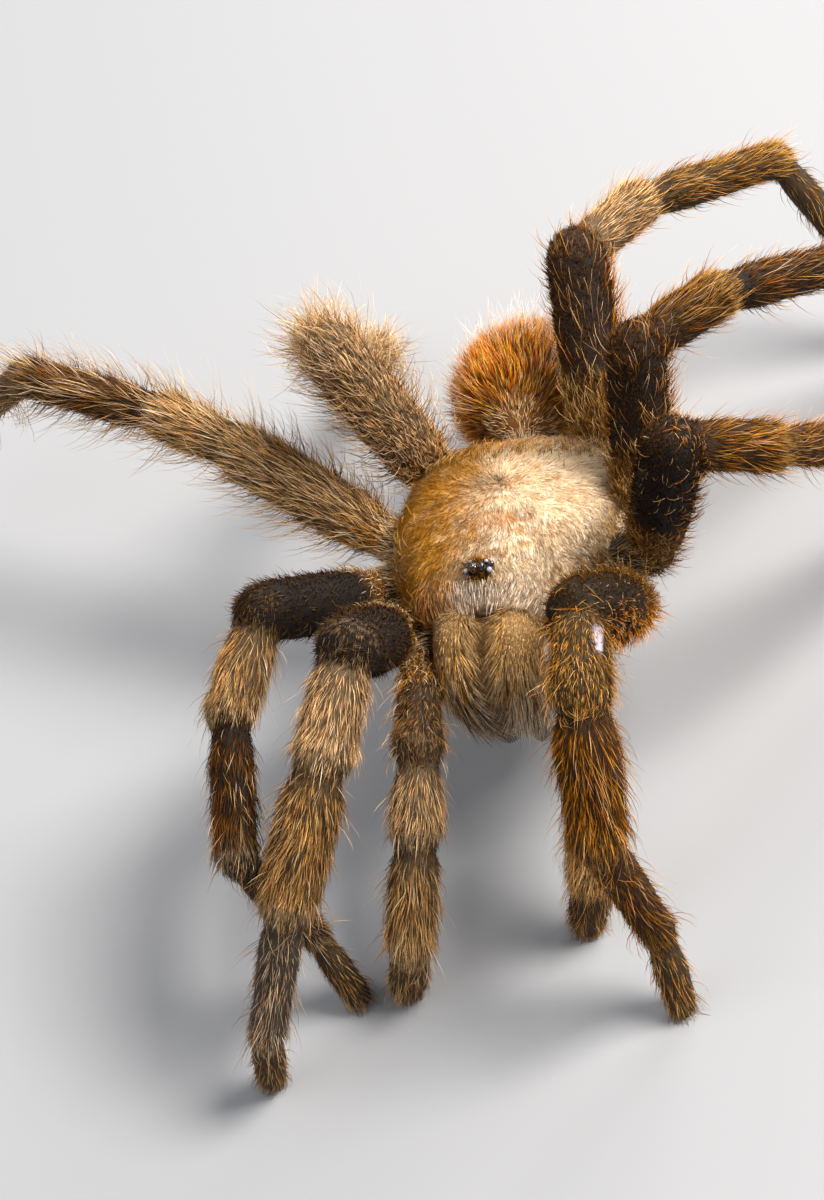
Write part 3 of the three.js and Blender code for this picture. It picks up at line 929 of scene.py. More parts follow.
def flounce_growth(form, spots):
    """The orange and pale hairs that hang from the lower side of the left legs' femora."""
    draw = spots.draw
    room = (1 - np.clip(spots.along, 0, 1)) * span_of(form) + 1.0
    length = np.minimum(draw(1.4, 2.9), room)
    lift = spots.slope(35, 60)
    return Growth(length, lift, lift * draw(0.5, 1.3), draw(0.055, 0.08),
                  tinted(spots, (SABLE, BRONZE)), tinted(spots, (AMBER, FOX, GOLD)),
                  tinted(spots, (GOLD, STRAW, CREAM)), swung(spots, 0.25, 3.0, 41))


def shield_lie(spots):
    """Out from the pit in every direction, in loose swirls."""
    away = spots.where - turned_head(place((0, FOVEA["y"], 6)))
    across = np.cross(spots.normal, away)
    swing = 0.5 * ripple(spots.where, 2.6, 5) + spots.rng.normal(0, 0.25, len(spots))
    return unit(unit(away) + unit(across) * swing[:, None])


def fringe_lie(spots):
    """As on the shield, but in front it is combed in to the notch between the jaws."""
    x, y = spots.where[:, 0], spots.where[:, 1]
    notch = turned_head(place((0, -9.9, 0.9)))
    share = ease(-y, 6.0, 7.6) * (1 - ease(np.abs(x), 4.2, 6.2))
    return unit(mix(shield_lie(spots), unit(notch - spots.where), 0.9 * share))


def in_pit(where):
    """1 in the shield's pit, and 0 away from it."""
    spot = turned_head(place((0, FOVEA["y"], 0)))
    return bump(where[:, 0], spot[0], 1.0) * bump(where[:, 1], spot[1], 0.6)


def carapace_colours(where, rng):
    """Root, middle and tip colours of the shield's velvet: cream on its left, gold on its right.

    The cream is partly painted highlight on the lit left and the gold partly painted shade on the
    right; the velvet's own colours are gold with cream hairs.
    """
    x, y = where[:, 0], where[:, 1]
    patches = ripple(where, 3.4, 7)
    fine = ripple(where, 0.7, 8)
    pit = turned_head(place((0, FOVEA["y"], 0)))
    heading = np.arctan2(x - pit[0], pit[1] - y) + 0.2 * ripple(where, 2.6, 5)
    flow = np.stack([8 * heading, 0.35 * np.hypot(x - pit[0], y - pit[1]), 0 * x], axis=1)
    streaks = ripple(flow, 1.0, 9)
    # Painted light: paler towards the left, where the light falls, and golden on the right, in painted
    # shade. The patches, fine mottling and streaks are the velvet's own.
    pale = 0.02 + 0.93 * ease(x - 0.12 * (y + 3), -5.4, 2.2)
    pale = np.clip(pale + 0.22 * patches + 0.15 * fine + 0.12 * streaks, 0, 1)
    share = np.clip(pale + rng.uniform(-0.35, 0.35, len(where)) * (0.25 + 0.75 * pale), 0, 1)
    saddle = bump(x, 0.7, 2.0) * bump(y, -1.7, 0.6)
    corner = ease(-y, 5.0, 8.0) * ease(np.abs(x), 2.5, 5.0) * ease(-x, -3, 3)
    draw = rng.random(len(where))
    gold, cream = mix(AMBER, GOLD, 0.2 + 0.8 * draw), mix(STRAW, CREAM, 0.2 + 0.8 * draw)
    middle = mix(gold, cream, share)
    # Fewer dark dashes on the left, which is painted as lit.
    dash = rng.random(len(where)) < 0.24 - 0.26 * streaks - 0.16 * ease(x, -1, 5)
    middle = mix(middle, mix(AMBER, OCHRE, draw), dash * 0.8) * (1 - 0.25 * ease(y, 0, 7))[:, None]
    middle = mix(middle, mix(FOX, AMBER, draw), 0.6 * ease(y, 6.4, 8.4) * rng.random(len(where)))
    orange = np.clip(1.3 * saddle + 0.4 * corner, 0, 1) * rng.random(len(where))
    middle = mix(middle, mix(FOX, AMBER, 0.4 + 0.6 * draw), orange)
    middle = mix(middle, COCOA, in_pit(where) * rng.random(len(where)) ** 0.5)
    tip = mix(middle, mix(GOLD, CREAM, share), (0.3 + 0.45 * draw) * (1 - 0.7 * dash))
    # Painted shadow: a dark line along the lowest front edge, where the comb of hairs overhangs the
    # jaws.
    under = ease(-y, 8.1, 8.6) * ease(x, -2.5, -1.0)
    middle, tip = mix(middle, SABLE, 0.8 * under), mix(tip, BRONZE, 0.8 * under)
    root = mix(BRONZE, middle, 0.55 + 0.25 * pale)
    return root, middle, tip


def carapace_growth(spots):
    """The shield's short velvet, a little longer low down and shorter in front."""
    draw = spots.draw
    low = ease(-spots.where[:, 2], -(HIP_HEIGHT + 3.6), -(HIP_HEIGHT + 2.0))
    front = ease(-spots.where[:, 1], 7.2, 8.2)
    length = draw(0.55, 1.15) * (1 + 0.4 * low) * (1 - 0.4 * front)
    lift = np.radians(draw(8, 30) + 35 * in_pit(spots.where))
    root, middle, tip = carapace_colours(spots.where, spots.rng)
    return Growth(length, lift, lift * draw(0.2, 1.0), draw(0.045, 0.07), root, middle, tip,
                  fringe_lie(spots))


def fringe_growth(spots):
    """Longer hairs round the shield's edge, hanging over the jaws and the leg bases."""
    draw = spots.draw
    x, y = spots.where[:, 0], spots.where[:, 1]
    front = ease(-y, 5.0, 8.0)
    corner = front * ease(np.abs(x), 2.5, 4.5)
    length = draw(1.1, 2.0) * (1 - 0.6 * front * ease(x, -4.5, -2))
    left = ease(x, 5.5, 7.5)
    length = length * (1 + 0.5 * left)
    lift = np.radians(draw(8, 36) + 14 * left)
    middle = mix(tinted(spots, (STRAW, GOLD, AMBER)), tinted(spots, (GOLD, AMBER, FOX)), 0.8 * corner)
    middle = mix(middle, CREAM, 0.6 * front * (1 - ease(np.abs(x), 1.5, 3.0)))
    # Painted light: the fringe on the left is made brighter, against the shade that falls on it there.
    middle = middle * (draw(0.45, 1.05) + 0.25 * left)[:, None]
    return Growth(length, lift, lift + spots.slope(5, 45),
                  draw(0.055, 0.085), tinted(spots, (BRONZE, AMBER)) * 0.6, middle,
                  tinted(spots, (CREAM, STRAW, GOLD)), fringe_lie(spots), droop=0.25)


def brow_growth(spots):
    """The comb of curved hairs over the front edge: cream at the notch, orange at the right."""
    draw = spots.draw
    x = spots.where[:, 0]
    orange = ease(-x, 1.8, 3.6)
    length = draw(1.0, 1.7) * (1 - 0.3 * ease(x, 0.6, 1.6))
    lift = spots.slope(20, 44)
    pale = tinted(spots, (CREAM, BLUSH, STRAW))
    middle = mix(pale, tinted(spots, (GOLD, AMBER, FOX)), orange * draw(0.5, 1))
    middle = middle * spots.pick((0.22, 0.9, 1.3), (0.2, 0.3, 0.5))[:, None]
    return Growth(length, lift, lift * draw(1.2, 2.0), draw(0.05, 0.075),
                  mix(tinted(spots, (BRONZE, SABLE)), middle, 0.6), middle,
                  mix(middle, middle * 1.5, 0.5), fringe_lie(spots), droop=0.25)


def tubercle_growth(spots):
    """Dark bristles between the eyes, and longer over those on the right."""
    draw = spots.draw
    right = ease(-spots.where[:, 0], 0.1, 0.6)
    lift = spots.slope(25, 70)
    length = draw(0.22, 0.42) + 0.75 * right * draw() ** 0.5
    lie = shield_lie(spots) * (1 - 0.6 * right)[:, None] + np.outer(1.4 * right, UP)
    return Growth(length, lift, lift * 0.5, draw(0.04, 0.06), tinted(spots, (INK, JET)),
                  tinted(spots, (SABLE, BRONZE)), tinted(spots, (BRONZE, HAZEL, GOLD)), lie)


def chelicera_growth(spots):
    """Short and pale gold over the top, then long and hanging, grey-brown with pale streaks."""
    draw = spots.draw
    down = ease(spots.along, 0.3, 0.75)
    streaks = ripple(spots.where * np.array([1, 1, 0.08]), 0.6, 17)
    inner = ease(-spots.normal[:, 0] * np.sign(spots.where[:, 0]), 0.0, 0.6)
    length = (0.6 + 2.9 * down) * draw(0.7, 1.2) * (1 - 0.35 * ease(spots.along, 0.8, 1))
    length = length + 1.5 * inner * (1 - down)
    lift = np.radians(draw(14, 40) - 8 * down + 22 * inner)
    dark = draw() < 0.12 - (0.15 + 0.2 * down) * streaks + 0.27 * down
    top = mix(tinted(spots, (GOLD, STRAW), 1.0), AMBER, 0.25 * draw()) * 1.3
    # Painted shadow: the top hairs darken towards the jaw's base, under the shield's edge.
    top = top * (0.5 + 0.5 * ease(spots.along, 0.1, 0.2))[:, None]
    low = mix(tinted(spots, (FAWN, SMOKE, AMBER)), CREAM, np.clip(0.4 + 0.9 * streaks, 0, 1)) * 1.3
    middle = mix(top, low, down)
    middle = mix(middle, JET, dark * 0.85)
    root = mix(tinted(spots, (OCHRE, GOLD)), tinted(spots, (INK, SABLE)), ease(down, 0.1, 0.8))
    pull = -0.45 * spots.where[:, 0] / 4 - 0.7 * inner * np.sign(spots.where[:, 0])
    inward = np.outer(pull, (1, 0, 0))
    return Growth(length, lift, lift * draw(0.6, 1.4), draw(0.05, 0.08),
                  root, middle, mix(middle, CREAM, 0.5 * draw() * (1 - 0.7 * dark)),
                  swung(spots, 0.15, 2.0, 19) + inward * np.maximum(down, 0.6 * inner)[:, None],
                  droop=0.35 * down)


def jaw_bristle_growth(spots):
    """Sparse long orange and pale bristles among the jaws' hair."""
    draw = spots.draw
    lift = spots.slope(25, 50)
    return Growth(draw(2.0, 3.8), lift, lift * draw(0.8, 1.5), draw(0.055, 0.075),
                  tinted(spots, (SABLE, BRONZE)), tinted(spots, (AMBER, GOLD)),
                  tinted(spots, (GOLD, STRAW, CREAM)), swung(spots, 0.25, 2.0, 43), droop=0.5)


def abdomen_growth(spots):
    """Short pale hair in front, then longer: dark at the root, orange, and pale at the tip."""
    draw = spots.draw
    back = ease(spots.along, 0.05, 0.11)
    rump = ease(spots.along, 0.1, 0.22)
    flank = ease(np.abs(np.sin(spots.angle) - 0.1), 0.5, 0.85) * ease(spots.along, 0.1, 0.2)
    flank = flank * (0.5 + 0.5 * (np.sin(spots.angle) > 0))
    edge = np.maximum(ease(spots.along, 0.32, 0.48), flank)
    patches = ripple(spots.where, 2.6, 23)
    length = (0.8 + 0.5 * back + 0.8 * rump) * draw(0.6, 1.2)
    lift = spots.slope(22, 46)
    red = np.clip(rump * 1.1 + 0.3 * patches, 0, 1)
    root = mix(INK, BRONZE, draw() ** 2)
    root = mix(root, FOX, 0.6 * rump * draw())
    front = mix(tinted(spots, (STRAW, CREAM)), tinted(spots, (BRONZE, OCHRE, GOLD)), back)
    # Painted light: the orange hair is made brighter than its own colour, partly standing in for light
    # shining through it from behind.
    middle = mix(front, tinted(spots, (FOX, AMBER, GOLD, STRAW), 0.8) * 1.3, red)
    dark = draw() < 0.2
    middle = middle * np.where(dark, 0.1, spots.pick((1.2, 2.0)))[:, None]
    pale = draw() < 0.26 + 0.6 * edge + 0.5 * (1 - back)
    bright_end = (0.4 + 0.4 * draw()) * (1 - 0.8 * dark)
    tip = mix(middle, tinted(spots, (AMBER, GOLD, STRAW)), bright_end)
    tip = mix(tip, tinted(spots, (STRAW, BLUSH, CREAM)), 0.8 * pale * (1 - 0.6 * dark * (1 - edge)))
    lie = swung(spots, 0.3, 2.2, 29) + spots.rng.normal(0, 0.35, (len(spots), 3)) * (1 - back)[:, None]
    return Growth(length, lift, lift * draw(0.0, 0.9), draw(0.055, 0.08), root, middle, tip, lie)


def plume_growth(spots):
    """The abdomen's longest hairs, pale to the tip."""
    draw = spots.draw
    flank = ease(np.abs(np.sin(spots.angle)), 0.4, 0.75)
    edge = np.maximum(ease(spots.along, 0.3, 0.42), flank * ease(spots.along, 0.08, 0.16))
    lift = spots.slope(30, 62)
    middle = mix(tinted(spots, (AMBER, GOLD)), tinted(spots, (BLUSH, STRAW)), edge)
    return Growth(draw(2.4, 4.6) * (0.6 + 0.4 * edge), lift, lift * draw(0.0, 1.1),
                  draw(0.05, 0.07), tinted(spots, (BRONZE, FOX)), middle,
                  mix(tinted(spots, (GOLD, STRAW)), tinted(spots, (BLUSH, CREAM)), edge),
                  swung(spots, 0.4, 4.0, 33))


def plain_growth(spots, length, colours):
    """A plain soft coat for the parts that the others hide."""
    draw = spots.draw
    lift = spots.slope(20, 50)
    root, middle, tip = colours
    return Growth(draw(0.7, 1.3) * length, lift, lift * draw(0.2, 1.0), draw(0.07, 0.1),
                  tinted(spots, root), tinted(spots, middle), tinted(spots, tip),
                  swung(spots, 0.3, 2.0, 37))


DARK_DOWN = ((INK, JET), (SABLE, COCOA), (COCOA, HAZEL))
GREY_DOWN = ((COCOA, SMOKE), (SMOKE, FAWN), (STRAW, CREAM))

# ---- materials ----


def new_group(name, inputs, outputs):
    """An empty node group with number inputs and the outputs given, and its two ends."""
    group = bpy.data.node_groups.new(name, "ShaderNodeTree")
    for label, value in inputs.items():
        socket = group.interface.new_socket(label, in_out="INPUT", socket_type="NodeSocketFloat")
        socket.default_value = value
    for label, kind in outputs.items():
        group.interface.new_socket(label, in_out="OUTPUT", socket_type=kind)
    return group, group.nodes.new("NodeGroupInput"), group.nodes.new("NodeGroupOutput")


def feed(target, **values):
    """Sets a node's inputs, each to a value or to the (node, output name) that feeds it."""
    for key, value in values.items():
        entry = target.inputs[key.replace("_", " ")]
        if isinstance(value, tuple) and isinstance(value[0], bpy.types.Node):
            source, output = value
            target.id_data.links.new(source.outputs[output], entry)
        else:
            entry.default_value = value
    return target


def node(tree, kind, **values):
    """A node, with its own settings and what feeds its inputs, given by name."""
    made = tree.nodes.new(kind)
    for key in [key for key in values if key in made.bl_rna.properties]:
        setattr(made, key, values.pop(key))
    return feed(made, **values)


def hair_colour_group():
    """A strand's own colour: its marking, made lighter or darker from hair to hair."""
    group, given, out = new_group("hair_colour", dict(Darkest=0.7, Lightest=1.3, Warmth=1.0),
                                  dict(Colour="NodeSocketColor", Roughness="NodeSocketFloat"))
    marking = node(group, "ShaderNodeAttribute", attribute_name="coat_colour")
    tone = node(group, "ShaderNodeAttribute", attribute_name="tone")
    spread = node(group, "ShaderNodeMapRange", Value=(tone, "Fac"), To_Min=(given, "Darkest"),
                  To_Max=(given, "Lightest"))
    adjust = node(group, "ShaderNodeHueSaturation", Color=(marking, "Color"),
                  Value=(spread, "Result"), Saturation=(given, "Warmth"))
    gloss = node(group, "ShaderNodeMapRange", Value=(tone, "Fac"), To_Min=0.62, To_Max=0.42)
    feed(out, Colour=(adjust, "Color"), Roughness=(gloss, "Result"))
    return group


def grain_group():
    """Fine pitted grain for bare hide and horn: a bump height and a mottling mask."""
    group, given, out = new_group("hide_grain", dict(Size=900.0),
                                  dict(Height="NodeSocketFloat", Mottle="NodeSocketFloat"))
    spot = node(group, "ShaderNodeTexCoord")
    pits = node(group, "ShaderNodeTexNoise", Vector=(spot, "Object"), Scale=(given, "Size"),
                Detail=3.0, Roughness=0.6)
    blotch = node(group, "ShaderNodeTexNoise", Vector=(spot, "Object"), Scale=160.0, Detail=2.0)
    feed(out, Height=(pits, "Fac"), Mottle=(blotch, "Fac"))
    return group


def new_material(name, **values):
    """A material and its Principled shader, with plain values set on the shader."""
    material = bpy.data.materials.new(name)
    material.use_nodes = True
    return material, feed(material.node_tree.nodes["Principled BSDF"], **values)


def hair_material(name, darkest, lightest, warmth, specular):
    material, shader = new_material(name, Specular_IOR_Level=specular)
    strand = node(material.node_tree, "ShaderNodeGroup", node_tree=GROUPS["hair"],
                  Darkest=darkest, Lightest=lightest, Warmth=warmth)
    feed(shader, Base_Color=(strand, "Colour"), Roughness=(strand, "Roughness"))
    return material


def hide_material():
    """The skin under the coat, with the coat's markings, and glossier where it is bare."""
    material, shader = new_material("hide", Specular_IOR_Level=0.3)
    tree = material.node_tree
    grain = node(tree, "ShaderNodeGroup", node_tree=GROUPS["grain"], Size=1500.0)
    marking = node(tree, "ShaderNodeAttribute", attribute_name="coat_colour")
    spread = node(tree, "ShaderNodeMapRange", Value=(grain, "Mottle"), To_Min=0.55, To_Max=1.3)
    mottled = node(tree, "ShaderNodeHueSaturation", Color=(marking, "Color"),
                   Value=(spread, "Result"))
    bare = node(tree, "ShaderNodeAttribute", attribute_name="bare")
    gloss = node(tree, "ShaderNodeMapRange", Value=(bare, "Fac"), To_Min=0.8, To_Max=0.38)
    relief = node(tree, "ShaderNodeBump", Height=(grain, "Height"), Strength=0.5,
                  Distance=0.12 * MM)
    feed(shader, Base_Color=(mottled, "Color"), Roughness=(gloss, "Result"),
         Normal=(relief, "Normal"))
    return material


def horn_material(name, dark, light, roughness, coat):
    """Smooth horn under a clear coat, for the fangs, the claws and the eyes."""
    material, shader = new_material(name, Coat_Weight=coat, Coat_Roughness=0.12)
    tree = material.node_tree
    grain = node(tree, "ShaderNodeGroup", node_tree=GROUPS["grain"], Size=700.0)
    colour = node(tree, "ShaderNodeMix", data_type="RGBA", A=(*dark, 1), B=(*light, 1),
                  Factor=(grain, "Mottle"))
    polish = node(tree, "ShaderNodeMapRange", Value=(grain, "Height"), To_Min=roughness * 0.7,
                  To_Max=roughness * 1.4)
    relief = node(tree, "ShaderNodeBump", Height=(grain, "Height"), Strength=0.15,
                  Distance=0.05 * MM)
    feed(shader, Base_Color=(colour, "Result"), Roughness=(polish, "Result"),
         Normal=(relief, "Normal"))
    return material


# ---- eyes, fangs and claws ----


def lens(centre, outward, radius):
    """An eye's grid: a dome set in a low round collar."""
    profile = [(1.1, -0.5), (1.12, -0.1), (1.06, 0.08), (0.97, 0.12), (0.93, 0.3), (0.8, 0.58),
               (0.6, 0.8), (0.35, 0.94), (0.12, 0.995)]
    outward = unit(outward)
    top = UP if abs(outward[2]) < 0.9 else BACK
    grid = [ring_points(centre + outward * radius * height, outward, top,
                        radius * width, radius * width) for width, height in profile]
    return np.array(grid)


COLLAR_ROWS = 4          # rows of an eye's grid, from its root, that make its dark collar
PEARLY_EYES = ("eye_front_lateral", "eye_rear_median")


def build_eyes(dark, pearly):
    """Eight eyes on the mound, each in the place of its solid. Two pairs have pearly domes."""
    mound = turned_head(place(TUBERCLE["centre"])) - 0.5 * UP
    for name, eye in EYES.items():
        for word, side in SIDES.items():
            centre = turned_head(place(eye["at"], side))
            grid = lens(centre, centre - mound, eye["radius"])
            obj = mesh_from(f"{name}_{word}_lens", *joined([grid]))
            obj.data.materials.append(dark)
            if name in PEARLY_EYES:
                obj.data.materials.append(pearly)
                clear = np.arange(len(obj.data.polygons)) >= COLLAR_ROWS * COLUMNS * 2
                obj.data.polygons.foreach_set("material_index", clear.astype(np.int32))
            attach(obj, "root")
            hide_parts(f"{name}_{word}")


def build_fangs(material):
    for word, side in SIDES.items():
        grid, _ = curve_rings(FANG, side, FANG["radii"], FANG["radii"], 0.0, 26, 14)
        obj = mesh_from(f"fang_{word}_horn", *joined([grid]))
        obj.data.materials.append(material)
        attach(obj, "root")
        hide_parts(f"fang_{word}")


def claw_grid(root, ahead, up, side_shift):
    """A small hook."""
    across = np.cross(ahead, up)
    grid = []
    for t in np.linspace(0, 1, 9):
        centre = root + across * side_shift + ahead * 0.75 * t + up * (0.35 * t - 0.6 * t * t)
        way = unit(ahead * 0.75 + up * (0.35 - 1.2 * t))
        grid.append(ring_points(centre, way, up + ahead * 0.01, 0.11 * (1.02 - t), 0.13 * (1.02 - t)))
    return np.array(grid)


def build_claws(material):
    """Two small claws at the end of every leg, half hidden in its pad of hair."""
    grids = []
    for kind in ("leg1", "leg2", "leg3", "leg4"):
        for word in SIDES:
            start, length, ahead, dorsal = lay_limb(kind, word)[-1]
            toe = start + ahead * (length + 0.15) + dorsal * 0.35
            grids += [claw_grid(toe, ahead, dorsal, shift) for shift in (-0.28, 0.28)]
    points, triangles = joined(grids)
    points[:, 2] = np.maximum(points[:, 2], FLOOR_CLEARANCE)
    obj = mesh_from("claws", points, triangles)
    obj.data.materials.append(material)
    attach(obj, "root")


# ---- skin and coat, put together ----


def form_marking(form, along, up, where):
    """The skin's colour at places on a form: the colour of the coat near its roots."""
    rng = np.random.default_rng(form.seed)
    if form.part == "carapace":
        # The shield's skin takes the velvet's colours, with their painted highlight, painted shade and
        # painted shadow line.
        root, middle, _ = carapace_colours(where, rng)
        return mix(root, middle, 0.5)
    plain = {"tubercle": INK, "sternum": JET, "pedicel": SMOKE, "spinneret": COCOA,
             "abdomen": BRONZE}
    if form.part == "chelicera":
        # Painted shadow: the jaw's skin is dark at its base, under the shield's edge.
        top = mix(SABLE, TAN * 0.6, ease(along, 0.1, 0.2))
        return mix(top, INK, ease(along, 0.3, 0.7))
    if form.part in plain:
        return np.tile(plain[form.part], (len(where), 1))
    # The limb skin is dark partly in its own colour and partly as painted shade in the gaps of the
    # coat.
    colour = mix(shade_of(form) * 0.18, BRONZE * 0.7, leg_base(form, along))
    return mix(colour, LILAC, ease(bareness(form, along, up), 0.3, 0.6))


def build_skin(forms, mesh, material):
    """The one skin, coloured by the nearest form."""
    places, colours, bare = [], [], []
    for form in forms:
        rows, columns, _ = form.grid.shape
        up = np.tile(np.cos(np.arange(columns) * (2 * math.pi / columns)), rows)
        along = np.repeat(form.along, columns)
        where = form.grid.reshape(-1, 3)
        places.append(where)
        colours.append(form_marking(form, along, up, where))
        bare.append(ease(bareness(form, along, up), 0.3, 0.6))
    places, colours = np.concatenate(places), np.concatenate(colours)
    bare = np.concatenate(bare)
    tree = KDTree(len(places))
    for number, spot in enumerate(places):
        tree.insert(spot, number)
    tree.balance()
    points = points_of(mesh)
    nearest = np.array([tree.find(spot)[1] for spot in points])
    points[:, 2] = np.maximum(points[:, 2], FLOOR_CLEARANCE)
    mesh.vertices.foreach_set("co", in_frame(points).astype(np.float32).ravel())
    set_values(mesh, "coat_colour", "FLOAT_COLOR", with_alpha(colours[nearest]))
    set_values(mesh, "bare", "FLOAT", bare[nearest])
    mesh.shade_smooth()
    mesh.update()
    skin = bpy.data.objects.new("skin", mesh)
    bpy.context.scene.collection.objects.link(skin)
    skin.data.materials.clear()
    skin.data.materials.append(material)
    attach(skin, "root")
    flesh = [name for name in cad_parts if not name.startswith(("eye_front", "eye_rear", "fang"))]
    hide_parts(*flesh)


# Hairs to a square millimetre where each kind grows thickest.
DENSITY = dict(
    shield=85, shield_below=3, edge=11, edge_left=7, lip=24, rear=8, brow=46, rim=12, rim_left=6,
    mound=90, mound_right=190, jaw_top=70, jaw_low=27, jaw_bristles=1.6, abdomen=23, plumes=3.6,
    plumes_all_over=1, plumes_right=8, plumes_left=2, hidden=20, sternum=14, coxa_tufts=5,
    femur_tufts=15, front_flounce=7, flounce=4.5)


def even(value):
    """The same density everywhere."""
    return lambda t, up, right: np.full(t.shape, float(value))


def limb_coat(coat, forms):
    """Dense under and over hairs on some segments of a limb, and long setae that stand out.

    A coxa and a femur also have curved tufts, and the left legs' femora a hanging flounce."""
    for form in forms:
        layers = layers_of(form)
        for number, (layer, rings) in enumerate((("under", 1), ("over", 2))):
            density = layer_density(form, layers[layer][0])
            coat.grow(form, density, number, lambda spots: limb_growth(form, spots, layer), rings)
        more = SETAE_MORE["bristling"] if is_bristling(form) else 1
        if form.side > 0 and form.part in ("patella", "tibia"):
            more = SETAE_MORE["left"]
        setae = lambda t, up, right: (more * layers["setae"] * ease(t * span_of(form), 0.8, 2.4)
                                  * ease(up, -1.4, -0.4))
        coat.grow(form, setae, 2, lambda spots: seta_growth(form, spots), 3)
        if form.part in ("coxa", "femur"):
            tufts = lambda t, up, right: DENSITY["coxa_tufts"] * ease(up, -0.3, 0.3)
            if form.part == "femur":
                tufts = lambda t, up, right: (DENSITY["femur_tufts"] * leg_base(form, t)
                                              * ease(up, -0.5, 0.2))
            coat.grow(form, tufts, 4, lambda spots: tuft_growth(form, spots), 3)
        if form.part == "femur" and form.side > 0 and form.limb != "palp":
            amount = DENSITY["front_flounce" if form.limb == "leg1" else "flounce"]
            below = lambda t, up, right: amount * ease(-up, -0.1, 0.5)
            coat.grow(form, below, 3, lambda spots: flounce_growth(form, spots), 3)


def carapace_coat(forms, tree):
    """The shield's velvet, the fringe round its edge, the brow, and the bristles of the mound."""
    coat = Coat("coat_carapace", "carapace_velvet", 2, tree)
    shield, mound = forms
    d = DENSITY
    velvet = lambda t, up, right: d["shield"] * ease(up, -0.5, -0.2) + d["shield_below"]
    edge = lambda t, up, right: (
        (d["edge"] + d["edge_left"] * (right < 0)) * bump(up, 0.0, 0.3)
        + d["lip"] * (t < 0.03) * (0.15 + 0.85 * ease(right, 0.1, 0.4))
        + d["rear"] * ease(t, 0.88, 0.95) * ease(up, -0.2, 0.2))
    brow = lambda t, up, right: d["brow"] * bump(t, 0.08, 0.04) * ease(up, 0.0, 0.3)
    rim = lambda t, up, right: (
        d["rim"] * bump(t, 0.85, 0.06) * ease(up, 0.0, 0.4)
        + d["rim_left"] * bump(up, 0.2, 0.25) * (right < 0) * (t < 0.8))
    bristles = lambda t, up, right: d["mound"] + d["mound_right"] * ease(right, -0.2, 0.4)
    coat.grow(shield, velvet, 1, carapace_growth, 1)
    coat.grow(shield, edge, 2, fringe_growth, 3)
    coat.grow(shield, brow, 4, brow_growth, 3)
    coat.grow(shield, rim, 5, lambda spots: tuft_growth(shield, spots), 3)
    coat.grow(mound, bristles, 3, tubercle_growth, 1)
    return coat


def jaw_coat(forms, tree):
    """Short hair over the tops of the jaws, long hair down their fronts, and a few bristles."""
    coat = Coat("coat_jaws", "jaw_hair", 2, tree)
    top = lambda t, up, right: DENSITY["jaw_top"] * (1 - ease(t, 0.3, 0.7))
    low = lambda t, up, right: DENSITY["jaw_low"] * ease(t, 0.2, 0.5)
    sparse = lambda t, up, right: DENSITY["jaw_bristles"] * ease(t, 0.25, 0.5)
    for form in forms:
        coat.grow(form, top, 1, chelicera_growth, 1)
        coat.grow(form, low, 2, chelicera_growth, 3)
        coat.grow(form, sparse, 3, jaw_bristle_growth, 3)
    return coat


def abdomen_coat(forms, tree):
    """The abdomen's hair and plumes, and the plain down on its stalk and spinnerets."""
    coat = Coat("coat_abdomen", "abdomen_hair", 4, tree)
    abdomen, pedicel, *spinnerets = forms
    d = DENSITY
    plumes = lambda t, up, right: (
        d["plumes_all_over"] + d["plumes"] * bump(t, 0.52, 0.18)
        + d["plumes_right"] * ease(right, 0.35, 0.8) * bump(t, 0.38, 0.22)
        + d["plumes_left"] * ease(-right, 0.6, 0.9) * bump(t, 0.3, 0.12))
    coat.grow(abdomen, even(d["abdomen"]), 1, abdomen_growth, 2)
    coat.grow(abdomen, plumes, 2, plume_growth, 3)
    coat.grow(pedicel, even(d["hidden"]), 1, lambda s: plain_growth(s, 1.4, GREY_DOWN), 2)
    for form in spinnerets:
        coat.grow(form, even(d["hidden"]), 1, lambda s: plain_growth(s, 0.6, DARK_DOWN), 1)
    return coat


def underside_coat(forms, tree):
    """Down on the breast plate, and the coxae's own coat."""
    coat = Coat("coat_underside", "underside_hair", 11, tree)
    for form in forms:
        if form.part == "coxa":
            limb_coat(coat, [form])
        else:
            coat.grow(form, even(DENSITY["sternum"]), 1,
                      lambda s: plain_growth(s, 1.0, DARK_DOWN), 1)
    return coat


def all_coats(forms, tree):
    """Every piece of coat, not yet built."""
    body = {}
    for form in forms:
        body.setdefault(form.part, []).append(form)
    coats = [carapace_coat(body["carapace"] + body["tubercle"], tree),
             jaw_coat(body["chelicera"], tree),
             abdomen_coat(body["abdomen"] + body["pedicel"] + body["spinneret"], tree),
             underside_coat(body["sternum"] + body["coxa"], tree)]
    for kind in LIMBS:
        for word, side in SIDES.items():
            coat = Coat(f"coat_{kind}_{word}", "limb_hair", 5, tree)
            limb_coat(coat, [form for form in forms if form.limb == kind and form.side == side
                             and form.part != "coxa" and not is_foot(form)])
            coats.append(coat)
    for word, side in SIDES.items():
        coat = Coat(f"coat_feet_{word}", "foot_hair", 8, tree)
        limb_coat(coat, [form for form in forms if form.side == side and is_foot(form)])
        coats.append(coat)
    return coats


# ---- floor, lights and camera ----

CAMERA = dict(azimuth=28.3, elevation=47.1, roll=-27.7, distance=0.3, lens=116.04,
              target=(-9.25, -1.03, 10.0))


def view_axes():
    """The camera's right, up and back, from its side and height and its roll."""
    az, el, turn = (math.radians(CAMERA[name]) for name in ("azimuth", "elevation", "roll"))
    back = np.array([math.sin(az) * math.cos(el), -math.cos(az) * math.cos(el), math.sin(el)])
    right = np.array([math.cos(az), math.sin(az), 0.0])
    up = np.cross(back, right)
    return (right * math.cos(turn) + up * math.sin(turn),
            up * math.cos(turn) - right * math.sin(turn), back)


